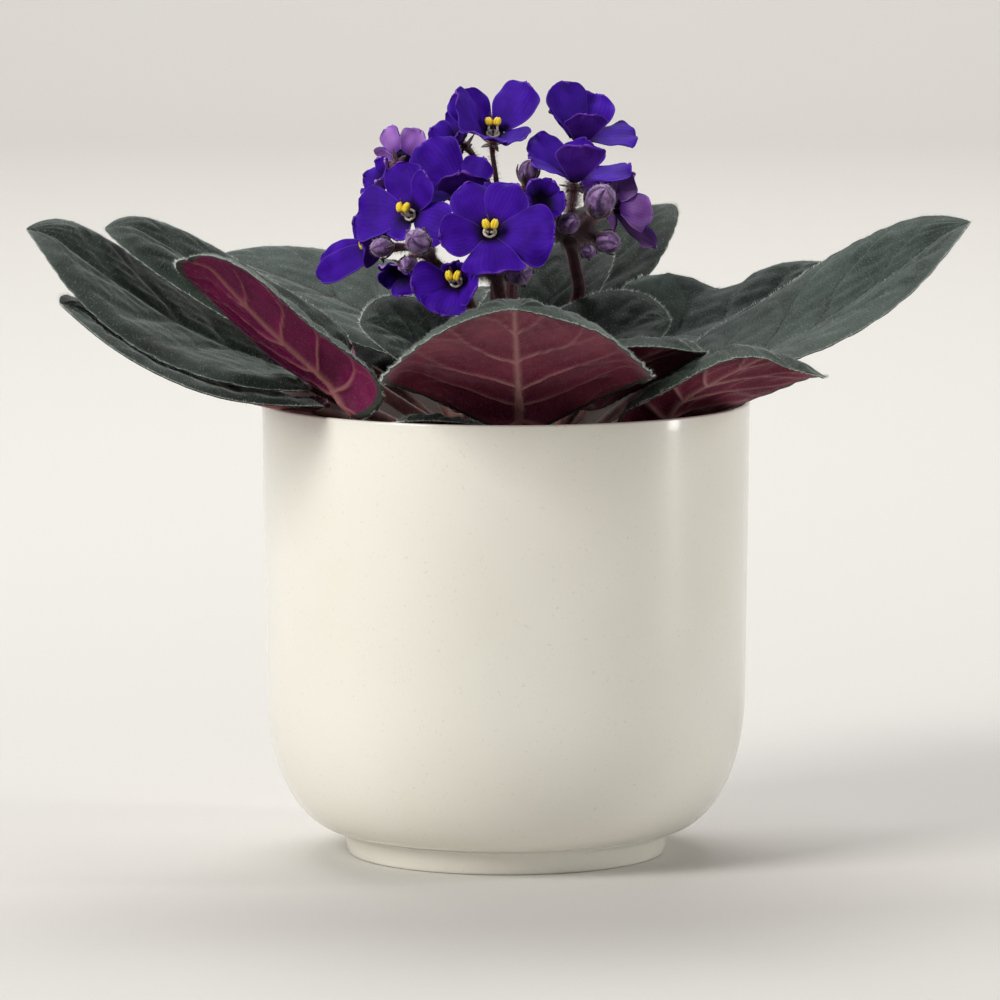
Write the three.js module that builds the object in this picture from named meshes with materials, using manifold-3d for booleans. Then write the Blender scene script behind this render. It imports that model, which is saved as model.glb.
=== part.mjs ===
// An African violet in flower, growing in a plain round pot.
// Millimetres, +Z up, the pot's axis on Z and its foot on Z = 0. -Y is the front.
// The pot, the soil and the crown stand on the axis. Leaves and flower stalks start at the crown,
// and each flower and bud sits at the end of its own branch of a stalk.

import * as THREE from "three";
import { mergeVertices } from "three/addons/utils/BufferGeometryUtils.js";
import Module from "manifold-3d";

const wasm = await Module();
wasm.setup();

// ---------------------------------------------------------------- driving sizes

const GAP = 0.3; // clearance between pieces that touch

const POT_HEIGHT = 140;
const RIM_RADIUS = 75;
const POT_WALL = 2.4;
const LIP_THICKNESS = 1.4; // the wall thins to this at the rim
const SHOULDER_RADIUS = 73.9; // where the straight side meets the rounded bottom
const SHOULDER_Z = 53;
const FOOT_HEIGHT = 7.5;
const FOOT_RADIUS_TOP = 50.4;
const FOOT_RADIUS = 48.9;
const FOOT_RING_INNER = 44;
const FOOT_RECESS = 2.5;
const POT_FLOOR = 4; // thickness of the bottom over the recess

const SOIL_Z = 116;
const CROWN_RADIUS = 12;
const CROWN_TOP_RADIUS = 9;
const CROWN_Z = 142;

const PETIOLE_RADIUS = 2.1;
const BLADE_THICKNESS = 1.6;
const PEDUNCLE_RADIUS = 2.1;
const PEDICEL_RADIUS = 0.9;
const PETAL_THICKNESS = 0.9;

// ---------------------------------------------------------------- materials

const material = (color, roughness) => new THREE.MeshStandardMaterial({ color, roughness, metalness: 0 });
const GLAZE = material(0xefece0, 0.38);
const SOIL = material(0x2b1d14, 0.95);
const CROWN = material(0x4a2a22, 0.8);
const LEAF = material(0x46564a, 0.75);
const STALK = material(0x4c1016, 0.6);
const PETAL = material(0x34129a, 0.55);
const ANTHER = material(0xf2dc1e, 0.5);
const BUD = material(0x8c639c, 0.7);

// ---------------------------------------------------------------- shared helpers

const vec = (p) => new THREE.Vector3(...p);
const radians = THREE.MathUtils.degToRad;
const mix = THREE.MathUtils.lerp;

// A manifold solid of a closed three.js geometry, and the geometry of a manifold solid.
function solid(geometry) {
  const bare = geometry.clone();
  bare.deleteAttribute("normal");
  bare.deleteAttribute("uv");
  const merged = mergeVertices(bare, 1e-4);
  return new wasm.Manifold(new wasm.Mesh({
    numProp: 3,
    vertProperties: merged.attributes.position.array,
    triVerts: new Uint32Array(merged.index.array),
  }));
}

// Closed geometries that run into each other, made one body. Where two of their skins only graze,
// the sliver between them is left out.
function joined(geometries) {
  const body = geometries.map(solid).reduce((whole, piece) => whole.add(piece));
  return body.decompose().sort((a, b) => b.volume() - a.volume())[0];
}

function geometryOf(body) {
  const mesh = body.getMesh();
  const geometry = new THREE.BufferGeometry();
  geometry.setAttribute("position", new THREE.BufferAttribute(mesh.vertProperties, 3));
  geometry.setIndex(new THREE.BufferAttribute(mesh.triVerts, 1));
  geometry.computeVertexNormals();
  return geometry;
}

// Closes a skin of points and faces into a thin body: a second skin lies below it by the thickness,
// and the two meet along the free edge.
function thicken(points, faces, edge, thickness) {
  const skin = new THREE.BufferGeometry().setFromPoints(points);
  skin.setIndex(faces);
  skin.computeVertexNormals();
  const normal = skin.attributes.normal;
  const all = [...points];
  const below = points.map((p, i) => {
    if (edge.has(i)) return i;
    const n = new THREE.Vector3().fromBufferAttribute(normal, i);
    return all.push(p.clone().addScaledVector(n, -thickness)) - 1;
  });
  const index = [...faces];
  for (let k = 0; k < faces.length; k += 3) {
    index.push(below[faces[k]], below[faces[k + 2]], below[faces[k + 1]]);
  }
  const body = new THREE.BufferGeometry().setFromPoints(all);
  body.setIndex(index);
  return body;
}

// A round bar along a smooth path through the points.
function bar(points, radius, steps, sides = 8) {
  const section = new THREE.Shape().absarc(0, 0, radius, 0, 2 * Math.PI);
  const path = new THREE.CatmullRomCurve3(points, false, "centripetal");
  return new THREE.ExtrudeGeometry(section, { extrudePath: path, steps, curveSegments: sides / 2 });
}

const group = new THREE.Group();

function add(name, geometry, look) {
  const mesh = new THREE.Mesh(geometry, look);
  mesh.name = name;
  group.add(mesh);
  return mesh;
}

// ---------------------------------------------------------------- pot, soil and crown

// Outer radius of the pot at a height: a foot ring, a rounded bottom and a nearly straight side.
function potRadius(z) {
  if (z >= SHOULDER_Z) return mix(SHOULDER_RADIUS, RIM_RADIUS, (z - SHOULDER_Z) / (POT_HEIGHT - SHOULDER_Z));
  const drop = (SHOULDER_Z - z) / (SHOULDER_Z - FOOT_HEIGHT);
  return FOOT_RADIUS_TOP + (SHOULDER_RADIUS - FOOT_RADIUS_TOP) * Math.sqrt(Math.max(0, 1 - drop ** 2.2));
}

const LATHE_SIDES = 40;

function lathe(profile, sides) {
  const points = profile.map(([r, z]) => new THREE.Vector2(r, z));
  return new THREE.LatheGeometry(points, sides).rotateX(Math.PI / 2);
}

// The pot's hollow, from the wall near the rim down to the middle of the floor.
function hollow() {
  const bottom = [0.1, 0.35, 0.65, 0.95].map((drop) => {
    const z = SHOULDER_Z - drop * (SHOULDER_Z - FOOT_HEIGHT - POT_FLOOR);
    return [potRadius(z - POT_FLOOR * drop) - POT_WALL - 1.5 * drop, z];
  });
  return [[RIM_RADIUS - POT_WALL, POT_HEIGHT - 12], ...bottom, [0, FOOT_RECESS + 2 * POT_FLOOR]];
}

function pot() {
  const outer = [1, 0.98, 0.92, 0.8, 0.62, 0.35, 0].map((drop) => {
    const z = SHOULDER_Z - drop * (SHOULDER_Z - FOOT_HEIGHT);
    return [potRadius(z), z];
  });
  return lathe([
    [0, FOOT_RECESS],
    [FOOT_RING_INNER - 1, FOOT_RECESS],
    [FOOT_RING_INNER, 0],
    [FOOT_RADIUS - 0.8, 0],
    [FOOT_RADIUS, 0.8],
    ...outer,
    [RIM_RADIUS, POT_HEIGHT - 0.7],
    [RIM_RADIUS - LIP_THICKNESS / 2, POT_HEIGHT],
    [RIM_RADIUS - LIP_THICKNESS, POT_HEIGHT - 0.7],
    ...hollow(),
  ], LATHE_SIDES);
}

// The soil fills the hollow up to a level, clear of it by the gap all round.
function soil() {
  const [wall, ...bottom] = hollow();
  const share = (POT_HEIGHT - 12 - SOIL_Z) / (wall[1] - bottom[0][1]);
  const top = mix(wall[0], bottom[0][0], share) - GAP;
  const side = bottom.map(([r, z]) => [Math.max(0, r - GAP), z + GAP]);
  return lathe([...side.reverse(), [top, SOIL_Z], [0, SOIL_Z]], LATHE_SIDES);
}

function crown() {
  const profile = [
    [0, SOIL_Z + GAP],
    [CROWN_RADIUS, SOIL_Z + GAP],
    [CROWN_RADIUS, CROWN_Z - 4],
    [CROWN_TOP_RADIUS, CROWN_Z],
    [0, CROWN_Z],
  ];
  return lathe(profile, 24);
}

add("pot", pot(), GLAZE);
add("potting_soil", soil(), SOIL);
add("crown", crown(), CROWN);

// ---------------------------------------------------------------- leaves

// Half of a heart-shaped blade, one unit wide and one long: the lobe beside the petiole, then the
// side. A blunt blade ends in a broad round and a pointed one tapers to its tip. heart is how deep
// the lobes are.
const LOBE_SHARE = 0.4;
const VEIN_START = 1.8; // side veins leave the midrib earlier than they reach the margin
const plane = (points) => new THREE.CubicBezierCurve(...points.map(([x, y]) => new THREE.Vector2(x, y)));

function halfOutline(pointed, heart) {
  const lobe = plane([[0, 0], [0.2, -0.07 * heart], [0.5, -0.13 * heart], [0.5, 0.27]]);
  const side = plane([[0.5, 0.27], [0.5, mix(0.64, 0.5, pointed)],
    [mix(0.3, 0.1, pointed), mix(0.95, 0.84, pointed)], [0, 1]]);
  return (s) => (s < LOBE_SHARE
    ? lobe.getPoint(s / LOBE_SHARE)
    : side.getPoint((s - LOBE_SHARE) / (1 - LOBE_SHARE)));
}

// A leaf's blade bent in space. base is where the blade starts and tip is its end. arch lifts the
// middle of its midrib. roll turns it about the midrib, at the base and at the tip, right side up.
// cup is how far each side rises from the midrib, left and right, and fold is how much more it
// rises at the base. curl is the width of the margin
// that turns down, and how far it turns down on the left and on the right. The tip turns down too,
// unless flatTip keeps it level. dent is a dip in one margin: its side, its place from base to
// tip, its half width and its depth.
const FLAT_TIP_SHARE = 0.14;

function blade(leaf) {
  const base = vec(leaf.base);
  const tip = vec(leaf.tip);
  const length = base.distanceTo(tip);
  const along = tip.clone().sub(base).normalize();
  const up = new THREE.Vector3(0, 0, 1).addScaledVector(along, -along.z).normalize();
  const middle = base.clone().lerp(tip, 0.5).addScaledVector(up, 2 * leaf.arch);
  const spine = new THREE.QuadraticBezierCurve3(base, middle, tip);
  const [rollBase, rollTip] = leaf.roll;
  const [cupLeft, cupRight] = leaf.cup;
  const [curlWidth, curlLeft, curlRight] = leaf.curl;
  const [dentSide, dentPlace, dentWidth, dentDepth] = leaf.dent ?? [1, 0, 1, 0];
  const outline = halfOutline(leaf.pointed ?? 0, leaf.heart ?? 1);
  const margin = Array.from({ length: 41 }, (_, i) => outline(i / 40))
    .map((p) => new THREE.Vector2(p.x * leaf.width, p.y * length));

  const frame = (y) => {
    const q = THREE.MathUtils.clamp(y / length, 0, 1);
    const tangent = spine.getTangent(q);
    const n0 = new THREE.Vector3(0, 0, 1).addScaledVector(tangent, -tangent.z).normalize();
    const right0 = tangent.clone().cross(n0);
    const roll = radians(mix(rollBase, rollTip, q));
    const right = right0.clone().multiplyScalar(Math.cos(roll)).addScaledVector(n0, Math.sin(roll));
    const normal = n0.clone().multiplyScalar(Math.cos(roll)).addScaledVector(right0, -Math.sin(roll));
    const origin = spine.getPoint(q);
    if (y < 0) origin.addScaledVector(tangent, y);
    return { origin, right, normal };
  };

  // s runs from the base to the tip by side veins, t from the left margin to the right one.
  const point = (s, t) => {
    const e = outline(s);
    const a = Math.abs(t);
    const x = e.x * leaf.width * t;
    const y = length * (mix(s ** VEIN_START, e.y, a) - 0.05 * Math.sin(Math.PI * a) * (1 - s));
    const { origin, right, normal } = frame(y);
    const fold = (leaf.fold ?? 8) * Math.max(0, 1 - Math.max(0, y) / (0.6 * length)) ** 2;
    const cup = radians((t < 0 ? cupLeft : cupRight) + fold);
    const flat = new THREE.Vector2(Math.abs(x), y);
    const toMargin = Math.min(...margin.map((p) => p.distanceTo(flat)));
    const nearTip = leaf.flatTip ? Math.min(1, (1 - s) / FLAT_TIP_SHARE) : 1;
    const turned = Math.max(0, 1 - toMargin / curlWidth) ** 2 * nearTip;
    const drop = turned * mix(curlLeft, curlRight, THREE.MathUtils.smoothstep(t, -0.5, 0.5));
    const dent = t * dentSide > 0 ? dentDepth * a * a * Math.exp(-(((s - dentPlace) / dentWidth) ** 2)) : 0;
    const lift = Math.sin(cup) * (Math.hypot(x, 4) - 4) - drop - dent;
    return origin.addScaledVector(right, x * Math.cos(cup)).addScaledVector(normal, lift);
  };
  return { point, frame, length };
}

const VEIN_ROWS = 8;
const ACROSS = [-1, -0.82, -0.45, 0, 0.45, 0.82, 1];

function leafBody(leaf) {
  const { point, frame, length } = blade(leaf);
  const points = [];
  const edge = new Set();
  const rows = [];
  for (let i = 0; i <= VEIN_ROWS; i++) {
    const s = i / VEIN_ROWS;
    const pole = i === 0 || i === VEIN_ROWS;
    const row = ACROSS.map((t) => (pole ? points.length : points.push(point(s, t)) - 1));
    if (pole) points.push(point(s, 0));
    rows.push(row);
    edge.add(row[0]);
    edge.add(row[row.length - 1]);
  }
  const faces = [];
  for (let i = 0; i < VEIN_ROWS; i++) {
    for (let j = 0; j + 1 < ACROSS.length; j++) {
      const [a, b, c, d] = [rows[i][j], rows[i][j + 1], rows[i + 1][j], rows[i + 1][j + 1]];
      if (a !== b) faces.push(a, b, c);
      if (c !== d) faces.push(b, d, c);
    }
  }
  const sheet = thicken(points, faces, edge, BLADE_THICKNESS);

  // The petiole runs from the crown to the blade and on under it as the start of the midrib.
  const [azimuth, height] = leaf.root;
  const outward = new THREE.Vector3(Math.cos(radians(azimuth)), Math.sin(radians(azimuth)), 0);
  const root = outward.clone().multiplyScalar(CROWN_RADIUS + GAP).setZ(height);
  const knee = outward.clone().multiplyScalar(CROWN_RADIUS + 4).setZ(height);
  const under = (y) => {
    const { origin, normal } = frame(y);
    return origin.addScaledVector(normal, -(BLADE_THICKNESS + PETIOLE_RADIUS - 1));
  };
  const stem = bar([root, knee, under(0), under(0.16 * length)], PETIOLE_RADIUS, 6);
  return geometryOf(joined([sheet, stem]));
}

const LEAVES = {
  // left side
  leaf_left_long: { root: [190, 124.3], base: [-66, -16, 152], tip: [-142, -26, 202], width: 84,
    arch: -7, roll: [12, 22], cup: [4, 0], curl: [8, 3, 4], pointed: 0.3 },
  leaf_left_low: { root: [200, 119.5], base: [-59, -26, 144.2], tip: [-132, -50, 178], width: 66,
    arch: -9, roll: [-2, 14], cup: [8, 8], curl: [8, 3, 3], heart: 0, fold: 0 },
  leaf_left_short: { root: [178, 129.1], base: [-50, -8.6, 154.4], tip: [-123, -4, 198.4], width: 48,
    arch: 0, roll: [10, 15], cup: [8, 8], curl: [9, 5, 3], heart: 0.4 },
  leaf_left_back: { root: [165, 133.9], base: [-28, 28.5, 157], tip: [-94, 61, 181], width: 60,
    arch: 2, roll: [18, 10], cup: [14, 12], curl: [8, 3, 3] },
  leaf_back_left: { root: [142, 124.3], base: [-38, 38, 146], tip: [-98, 86, 177], width: 62,
    arch: 0, roll: [0, 0], cup: [14, 14], curl: [8, 4, 4] },
  // front
  leaf_front_left: { root: [226, 124.3], base: [-47, -44, 146], tip: [-93, -82, 196], width: 48,
    arch: -2, roll: [-34, -30], cup: [-8, 44], curl: [10, 8, 3], heart: 0.2, pointed: -0.4,
    flatTip: true },
  leaf_front: { root: [274, 119.5], base: [4, -50, 142], tip: [2, -130, 186], width: 85,
    arch: 2, roll: [0, 0], cup: [1, -2], curl: [8, 7, 7], pointed: 0.7, heart: 0.2, fold: 27 },
  leaf_front_right: { root: [328, 119.5], base: [44, -30, 139], tip: [93, -72, 167], width: 50,
    arch: 1, roll: [6, 14], cup: [0, 14], curl: [16, 2, 13], pointed: -0.3, flatTip: true },
  leaf_front_middle: { root: [305, 124.3], base: [22, -34, 146], tip: [56, -64, 167], width: 46,
    arch: 2, roll: [8, 8], cup: [10, 14], curl: [8, 6, 6] },
  leaf_under_front: { root: [252, 129.1], base: [-11, -32, 135.7], tip: [-29, -62, 144.5], width: 26,
    arch: 0, roll: [-6, -6], cup: [6, 6], curl: [6, 3, 3], fold: 0 },
  // right side
  leaf_right_long: { root: [352, 124.3], base: [58, -10, 147], tip: [139, -20, 201], width: 70,
    arch: -6, roll: [-2, -28], cup: [18, 8], curl: [9, 5, 3], pointed: 0.3 },
  leaf_right_short: { root: [12, 129.1], base: [39, 26, 155], tip: [104, 58, 180], width: 52,
    arch: -4, roll: [-20, 8], cup: [44, -4], curl: [7, 3, 3],
    dent: [-1, 0.6, 0.1, 9], heart: 0.6 },
  // back
  leaf_back_right: { root: [30, 119.5], base: [45, 36, 144], tip: [98, 88, 160], width: 62,
    arch: 3, roll: [0, 0], cup: [12, 12], curl: [8, 4, 4] },
  leaf_back: { root: [95, 119.5], base: [3, 54, 144], tip: [1, 131, 166], width: 58,
    arch: 3, roll: [0, 0], cup: [12, 12], curl: [8, 4, 4] },
  leaf_back_upright: { root: [66, 133.9], base: [18.5, 56, 158.3], tip: [44, 86, 196], width: 56,
    arch: 2, roll: [0, 0], cup: [14, 14], curl: [8, 3, 3], heart: 0.2, pointed: -0.5 },
  // small leaves round the flower stalks
  leaf_inner_left: { root: [196, 138.7], base: [-17, 0, 151], tip: [-44, -8, 166], width: 44,
    arch: 1, roll: [34, 30], cup: [14, 14], curl: [5, 2, 2] },
  leaf_inner_right: { root: [334, 138.7], base: [17, -7, 151], tip: [50, -10, 167], width: 44,
    arch: 2, roll: [-32, -30], cup: [14, 14], curl: [5, 2, 2] },
  leaf_inner_back: { root: [80, 138.7], base: [6, 28, 155], tip: [28, 52, 187], width: 46,
    arch: 2, roll: [0, 0], cup: [14, 14], curl: [5, 2, 2] },
};

for (const [name, leaf] of Object.entries(LEAVES)) add(name, leafBody(leaf), LEAF);

// ---------------------------------------------------------------- flowers and buds

const LOBE_SIDES = 4;
const NOTCH = 0.34; // how far the gap between two lobes cuts in
const THROAT_DEPTH = 2.5;
const THROAT_WIDTH = 3.5;
const CALYX_RADIUS = 1.9;
const CALYX_HEIGHT = 3;

// A frame for a flower: +Z faces out of it and +Y points to its upper lobes. facing is its compass
// turn from the front towards the right, and its rise.
function pose(flower) {
  const [azimuth, rise] = flower.facing.map(radians);
  const out = new THREE.Vector3(Math.sin(azimuth) * Math.cos(rise), -Math.cos(azimuth) * Math.cos(rise),
    Math.sin(rise));
  const up = new THREE.Vector3(0, 0, 1).addScaledVector(out, -out.z).normalize();
  const right = up.clone().cross(out);
  return { out, matrix: new THREE.Matrix4().makeBasis(right, up, out).setPosition(...flower.at) };
}

// A corolla, one piece with five lobes. Each lobe is the way it points in the flower's face, its
// reach and how far it rises out of the face.
function corolla(flower) {
  const { lobes } = flower;
  const count = lobes.length;
  const starts = lobes.map(([angle], i) => {
    const before = lobes[(i + count - 1) % count][0] - (i ? 0 : 360);
    return (before + angle) / 2;
  });
  const around = lobes.flatMap(([, reach, lift], i) => {
    const end = i + 1 < count ? starts[i + 1] : starts[0] + 360;
    return Array.from({ length: LOBE_SIDES }, (_, k) => {
      const place = k / LOBE_SIDES;
      const across = Math.abs(2 * place - 1);
      const neighbour = lobes[(i + (place < 0.5 ? count - 1 : 1)) % count];
      const meeting = 0.5 * across ** 2;
      return {
        angle: radians(mix(starts[i], end, place)),
        reach: mix(reach, neighbour[1], meeting) * (1 - NOTCH * across ** 3),
        lift: radians(mix(lift, neighbour[2], meeting)),
      };
    });
  });
  const points = [new THREE.Vector3(0, 0, -THROAT_DEPTH)];
  for (const ring of [0.3, 1]) {
    for (const { angle, reach, lift } of around) {
      const r = ring * reach;
      const raised = Math.max(0, r - THROAT_WIDTH);
      const flat = Math.min(r, THROAT_WIDTH) + raised * Math.cos(lift);
      const z = raised * Math.sin(lift) - THROAT_DEPTH * Math.exp(-((r / THROAT_WIDTH) ** 2));
      points.push(new THREE.Vector3(flat * Math.cos(angle), flat * Math.sin(angle), z));
    }
  }
  const n = around.length;
  const faces = [];
  for (let k = 0; k < n; k++) {
    const next = (k + 1) % n;
    faces.push(0, 1 + k, 1 + next, 1 + k, 1 + n + k, 1 + n + next, 1 + k, 1 + n + next, 1 + next);
  }
  const edge = new Set(around.map((_, k) => 1 + n + k));
  return thicken(points, faces, edge, PETAL_THICKNESS).applyMatrix4(pose(flower).matrix);
}

const ANTHER_HEIGHT = 3; // over the flower's face
const STAMEN_BASE = 0.8 - THROAT_DEPTH; // just over the bottom of the throat

// Two anthers side by side on one short stalk in the throat.
function stamens(flower) {
  const anther = (side) => new THREE.SphereGeometry(1, 6, 3).scale(1.5, 1.7, 1.3)
    .translate(side * 1.4, 0.8, ANTHER_HEIGHT);
  const length = ANTHER_HEIGHT - STAMEN_BASE;
  const filament = new THREE.CylinderGeometry(0.6, 0.6, length, 6).rotateX(Math.PI / 2)
    .translate(0, 0.2, STAMEN_BASE + length / 2);
  return geometryOf(joined([anther(-1), anther(1), filament])).applyMatrix4(pose(flower).matrix);
}

const BUD_STRETCH = 1.25; // a bud is this much longer than it is wide

function bud({ at, radius, facing }) {
  return new THREE.SphereGeometry(radius, 8, 5).rotateX(Math.PI / 2).scale(1, 1, BUD_STRETCH)
    .applyMatrix4(pose({ at, facing }).matrix);
}

const FLOWERS = {
  // open flowers, from the front to the back
  front: { at: [-4.9, -44, 196], facing: [2, 24],
    lobes: [[60, 17.5, 4], [118, 17.5, 4], [185, 17.5, 16], [266, 19, 34], [349, 20.5, 16]] },
  left: { at: [-29.6, -30, 200], facing: [-40, 22],
    lobes: [[58, 15, 30], [115, 17, 24], [186, 20, 10], [255, 10.5, 14], [340, 15.5, 32]] },
  lower_left: { at: [-41, -13, 189], facing: [-38, 8],
    lobes: [[60, 11, 0], [130, 13, 0], [193, 20, 4], [258, 11, 20], [335, 11, 60]] },
  low: { at: [-15, -46, 181.5], facing: [-14, 14],
    lobes: [[40, 10, 55], [110, 10, 50], [190, 14.5, 25], [255, 13.5, 30], [330, 12, 50]] },
  top: { at: [-4, -8, 223.5], facing: [2, 55],
    lobes: [[48, 20, 40], [128, 17, 30], [178, 20, 56], [255, 15, 38], [325, 13, 25]] },
  upper_left: { at: [-13.4, -20, 207], facing: [-8, 45],
    lobes: [[60, 13, 20], [130, 21, 20], [184, 16, 8], [262, 11, 75], [335, 12, 20]] },
  upper_right: { at: [21, -15, 211], facing: [20, 74],
    lobes: [[60, 17, 34], [124, 20, 42], [186, 17, 25], [262, 14, 70], [345, 18, 20]] },
  top_right: { at: [23, 7, 221.5], facing: [25, 70],
    lobes: [[58, 18, 42], [105, 20, 58], [150, 14, 46], [255, 13, 70], [340, 18, 10]] },
  right: { at: [35, -8, 201], facing: [118, 5],
    lobes: [[60, 13, 25], [125, 14, 25], [195, 12, 30], [268, 19, 48], [340, 14, 20]] },
  back_left: { at: [-31, 4, 214.5], facing: [150, 20],
    lobes: [[60, 11, 20], [120, 11, 20], [190, 12, 20], [270, 12, 20], [350, 12, 20]] },
  back: { at: [3, 38, 193], facing: [180, 25],
    lobes: [[60, 12, 10], [120, 13, 10], [190, 15, 12], [270, 15, 20], [350, 15, 12]] },
};
const cup = (reach, lift) => [60, 120, 190, 270, 350].map((angle) => [angle, reach, lift]);
const HALF_OPEN = {
  top_left: { at: [-14, 1.5, 221.5], facing: [-50, 45], lobes: cup(10, 50) },
  side_left: { at: [-38, -9, 208.5], facing: [-70, 25], lobes: cup(9, 50) },
  side_right: { at: [11.5, -27, 201.5], facing: [25, 15], lobes: cup(8, 50) },
  hanging: { at: [-34, -33, 183.5], facing: [-40, -35], lobes: cup(9, 50) },
  back_right: { at: [30, 27, 200], facing: [145, 25], lobes: cup(12, 40) },
};
const BUDS = {
  bud_1: { at: [28.6, -27, 203.5], radius: 4.7, facing: [20, 40] },
  bud_2: { at: [19, -25, 196.5], radius: 3.3, facing: [30, 20] },
  bud_3: { at: [31, -22, 190.5], radius: 3.5, facing: [40, -10] },
  bud_4: { at: [-26.6, -47.6, 192.8], radius: 3.8, facing: [-20, 20] },
  bud_5: { at: [-37.5, -38.5, 190.2], radius: 3, facing: [-50, 0] },
  bud_6: { at: [3.8, -40, 183], radius: 4.2, facing: [10, 0] },
  bud_7: { at: [6.8, -12, 211], radius: 3.2, facing: [20, 60] },
};
// The youngest buds are still part of their stalk.
const YOUNG_BUDS = {
  young_left: { at: [-29.5, -41, 185.5], radius: 2.4, facing: [-20, -20] },
  young_right: { at: [25, -28, 188], radius: 2.2, facing: [10, -10] },
};

for (const [name, flower] of Object.entries(FLOWERS)) {
  add(`corolla_${name}`, corolla(flower), PETAL);
  add(`stamens_${name}`, stamens(flower), ANTHER);
}
for (const [name, flower] of Object.entries(HALF_OPEN)) add(`corolla_${name}`, corolla(flower), PETAL);
for (const [name, place] of Object.entries(BUDS)) add(name, bud(place), BUD);

// ---------------------------------------------------------------- flower stalks

// A stalk rises from the crown along its points and branches at its last one to each flower and bud
// that it carries. Under a flower the branch ends in a calyx.
const STALKS = {
  stalk_right: { path: [[5, 3], [12, 9, 156], [22, 12, 170], [21, 2, 182], [19, -8, 190]],
    carries: ["right", "top_right", "upper_right", "bud_1", "bud_2", "bud_3", "young_right"] },
  stalk_left: { path: [[-5, -3], [-8, -6, 160], [-14, -14, 176], [-22, -20, 184]],
    carries: ["left", "lower_left", "side_left", "hanging", "bud_4", "bud_5", "young_left"] },
  stalk_front: { path: [[0, -6], [0, -10, 162], [-3, -22, 180]],
    carries: ["front", "low", "side_right", "bud_6"] },
  stalk_top: { path: [[-3, 4], [-3, 4, 170], [-2, -2, 196]],
    carries: ["top", "upper_left", "top_left", "bud_7"] },
  stalk_back: { path: [[2, 7.5], [1, 12, 160], [2, 16, 178]],
    carries: ["back_left", "back", "back_right"] },
};

function branch(fork, name) {
  const head = FLOWERS[name] ?? HALF_OPEN[name] ?? BUDS[name] ?? YOUNG_BUDS[name];
  const { out, matrix } = pose(head);
  const young = name in YOUNG_BUDS;
  const isBud = young || name in BUDS;
  const clear = young ? -1 : GAP;
  const under = clear + (isBud ? head.radius * BUD_STRETCH : THROAT_DEPTH + PETAL_THICKNESS);
  const end = vec(head.at).addScaledVector(out, -under);
  const before = end.clone().addScaledVector(out, -5);
  const rise = fork.distanceTo(before) * 0.12;
  const middle = fork.clone().lerp(before, 0.5).add(new THREE.Vector3(0, 0, rise));
  const pieces = [bar([fork, middle, before, end], PEDICEL_RADIUS, 4, 6)];
  if (young) pieces.push(bud(head));
  if (!isBud) {
    const calyx = new THREE.CylinderGeometry(CALYX_RADIUS, PEDICEL_RADIUS, CALYX_HEIGHT, 6);
    pieces.push(calyx.rotateX(Math.PI / 2).translate(0, 0, -under - CALYX_HEIGHT / 2).applyMatrix4(matrix));
  }
  return pieces;
}

for (const [name, { path, carries }] of Object.entries(STALKS)) {
  const points = path.map(([x, y, z]) => vec([x, y, z ?? CROWN_Z + GAP]));
  const fork = points.at(-1);
  points.splice(1, 0, points[0].clone().setZ(CROWN_Z + 4));
  const pieces = [bar(points, PEDUNCLE_RADIUS, 7, 6), ...carries.flatMap((head) => branch(fork, head))];
  add(name, geometryOf(joined(pieces)), STALK);
}

export default group;
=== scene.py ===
# An African violet in flower, growing in a plain round cover pot.
# Metres, +Z up. Sizes below are in millimetres, and a piece's mesh is scaled when it is made.
import math

import bmesh
import bpy
import numpy as np
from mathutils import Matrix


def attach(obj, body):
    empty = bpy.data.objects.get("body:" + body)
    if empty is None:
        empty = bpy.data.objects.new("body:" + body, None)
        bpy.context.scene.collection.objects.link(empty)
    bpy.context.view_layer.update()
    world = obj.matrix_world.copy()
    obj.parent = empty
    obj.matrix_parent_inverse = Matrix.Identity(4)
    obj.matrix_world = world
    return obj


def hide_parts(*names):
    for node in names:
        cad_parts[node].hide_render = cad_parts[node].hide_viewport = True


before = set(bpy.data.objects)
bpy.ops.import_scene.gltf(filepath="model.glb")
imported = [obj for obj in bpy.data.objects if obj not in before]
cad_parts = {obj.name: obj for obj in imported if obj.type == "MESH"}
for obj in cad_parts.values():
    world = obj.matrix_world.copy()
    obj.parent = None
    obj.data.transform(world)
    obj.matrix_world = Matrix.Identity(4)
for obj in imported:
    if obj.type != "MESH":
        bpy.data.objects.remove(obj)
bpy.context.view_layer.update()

# ---------------------------------------------------------------- camera
# A long lens a little above the rim, level with the plant's front.
# It looks down on the pot by about six and a half degrees.
camera = bpy.data.objects.new("camera", bpy.data.cameras.new("camera"))
bpy.context.scene.collection.objects.link(camera)
camera.location = (-0.00185, -2.4, 0.3837)
camera.rotation_euler = (math.radians(90 - 6.528), 0, 0)
camera.data.sensor_width = 36
camera.data.lens = 282.4
bpy.context.scene.camera = camera
bpy.context.scene.view_settings.view_transform = "Standard"

# ---------------------------------------------------------------- pot
# The cover pot is one turned piece of stoneware: a nearly straight side, a rounded bottom and a
# low foot ring. Its warm white satin glaze runs over the thin rounded lip and down inside.
POT_HEIGHT = 140
RIM_RADIUS = 75
POT_WALL = 2.4
LIP = 1.4
SHOULDER_RADIUS, SHOULDER_Z = 73.9, 53
FOOT_HEIGHT, FOOT_TOP_RADIUS, FOOT_RADIUS, FOOT_RING_INNER = 7.5, 50.4, 48.9, 44
FOOT_RECESS = 2.5
FLOOR_THICKNESS = 4
POT_SIDES = 140


def pot_radius(z):
    if z >= SHOULDER_Z:
        return np.interp(z, [SHOULDER_Z, POT_HEIGHT], [SHOULDER_RADIUS, RIM_RADIUS])
    drop = (SHOULDER_Z - z) / (SHOULDER_Z - FOOT_HEIGHT)
    return FOOT_TOP_RADIUS + (SHOULDER_RADIUS - FOOT_TOP_RADIUS) * math.sqrt(max(0, 1 - drop**2.2))


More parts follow.
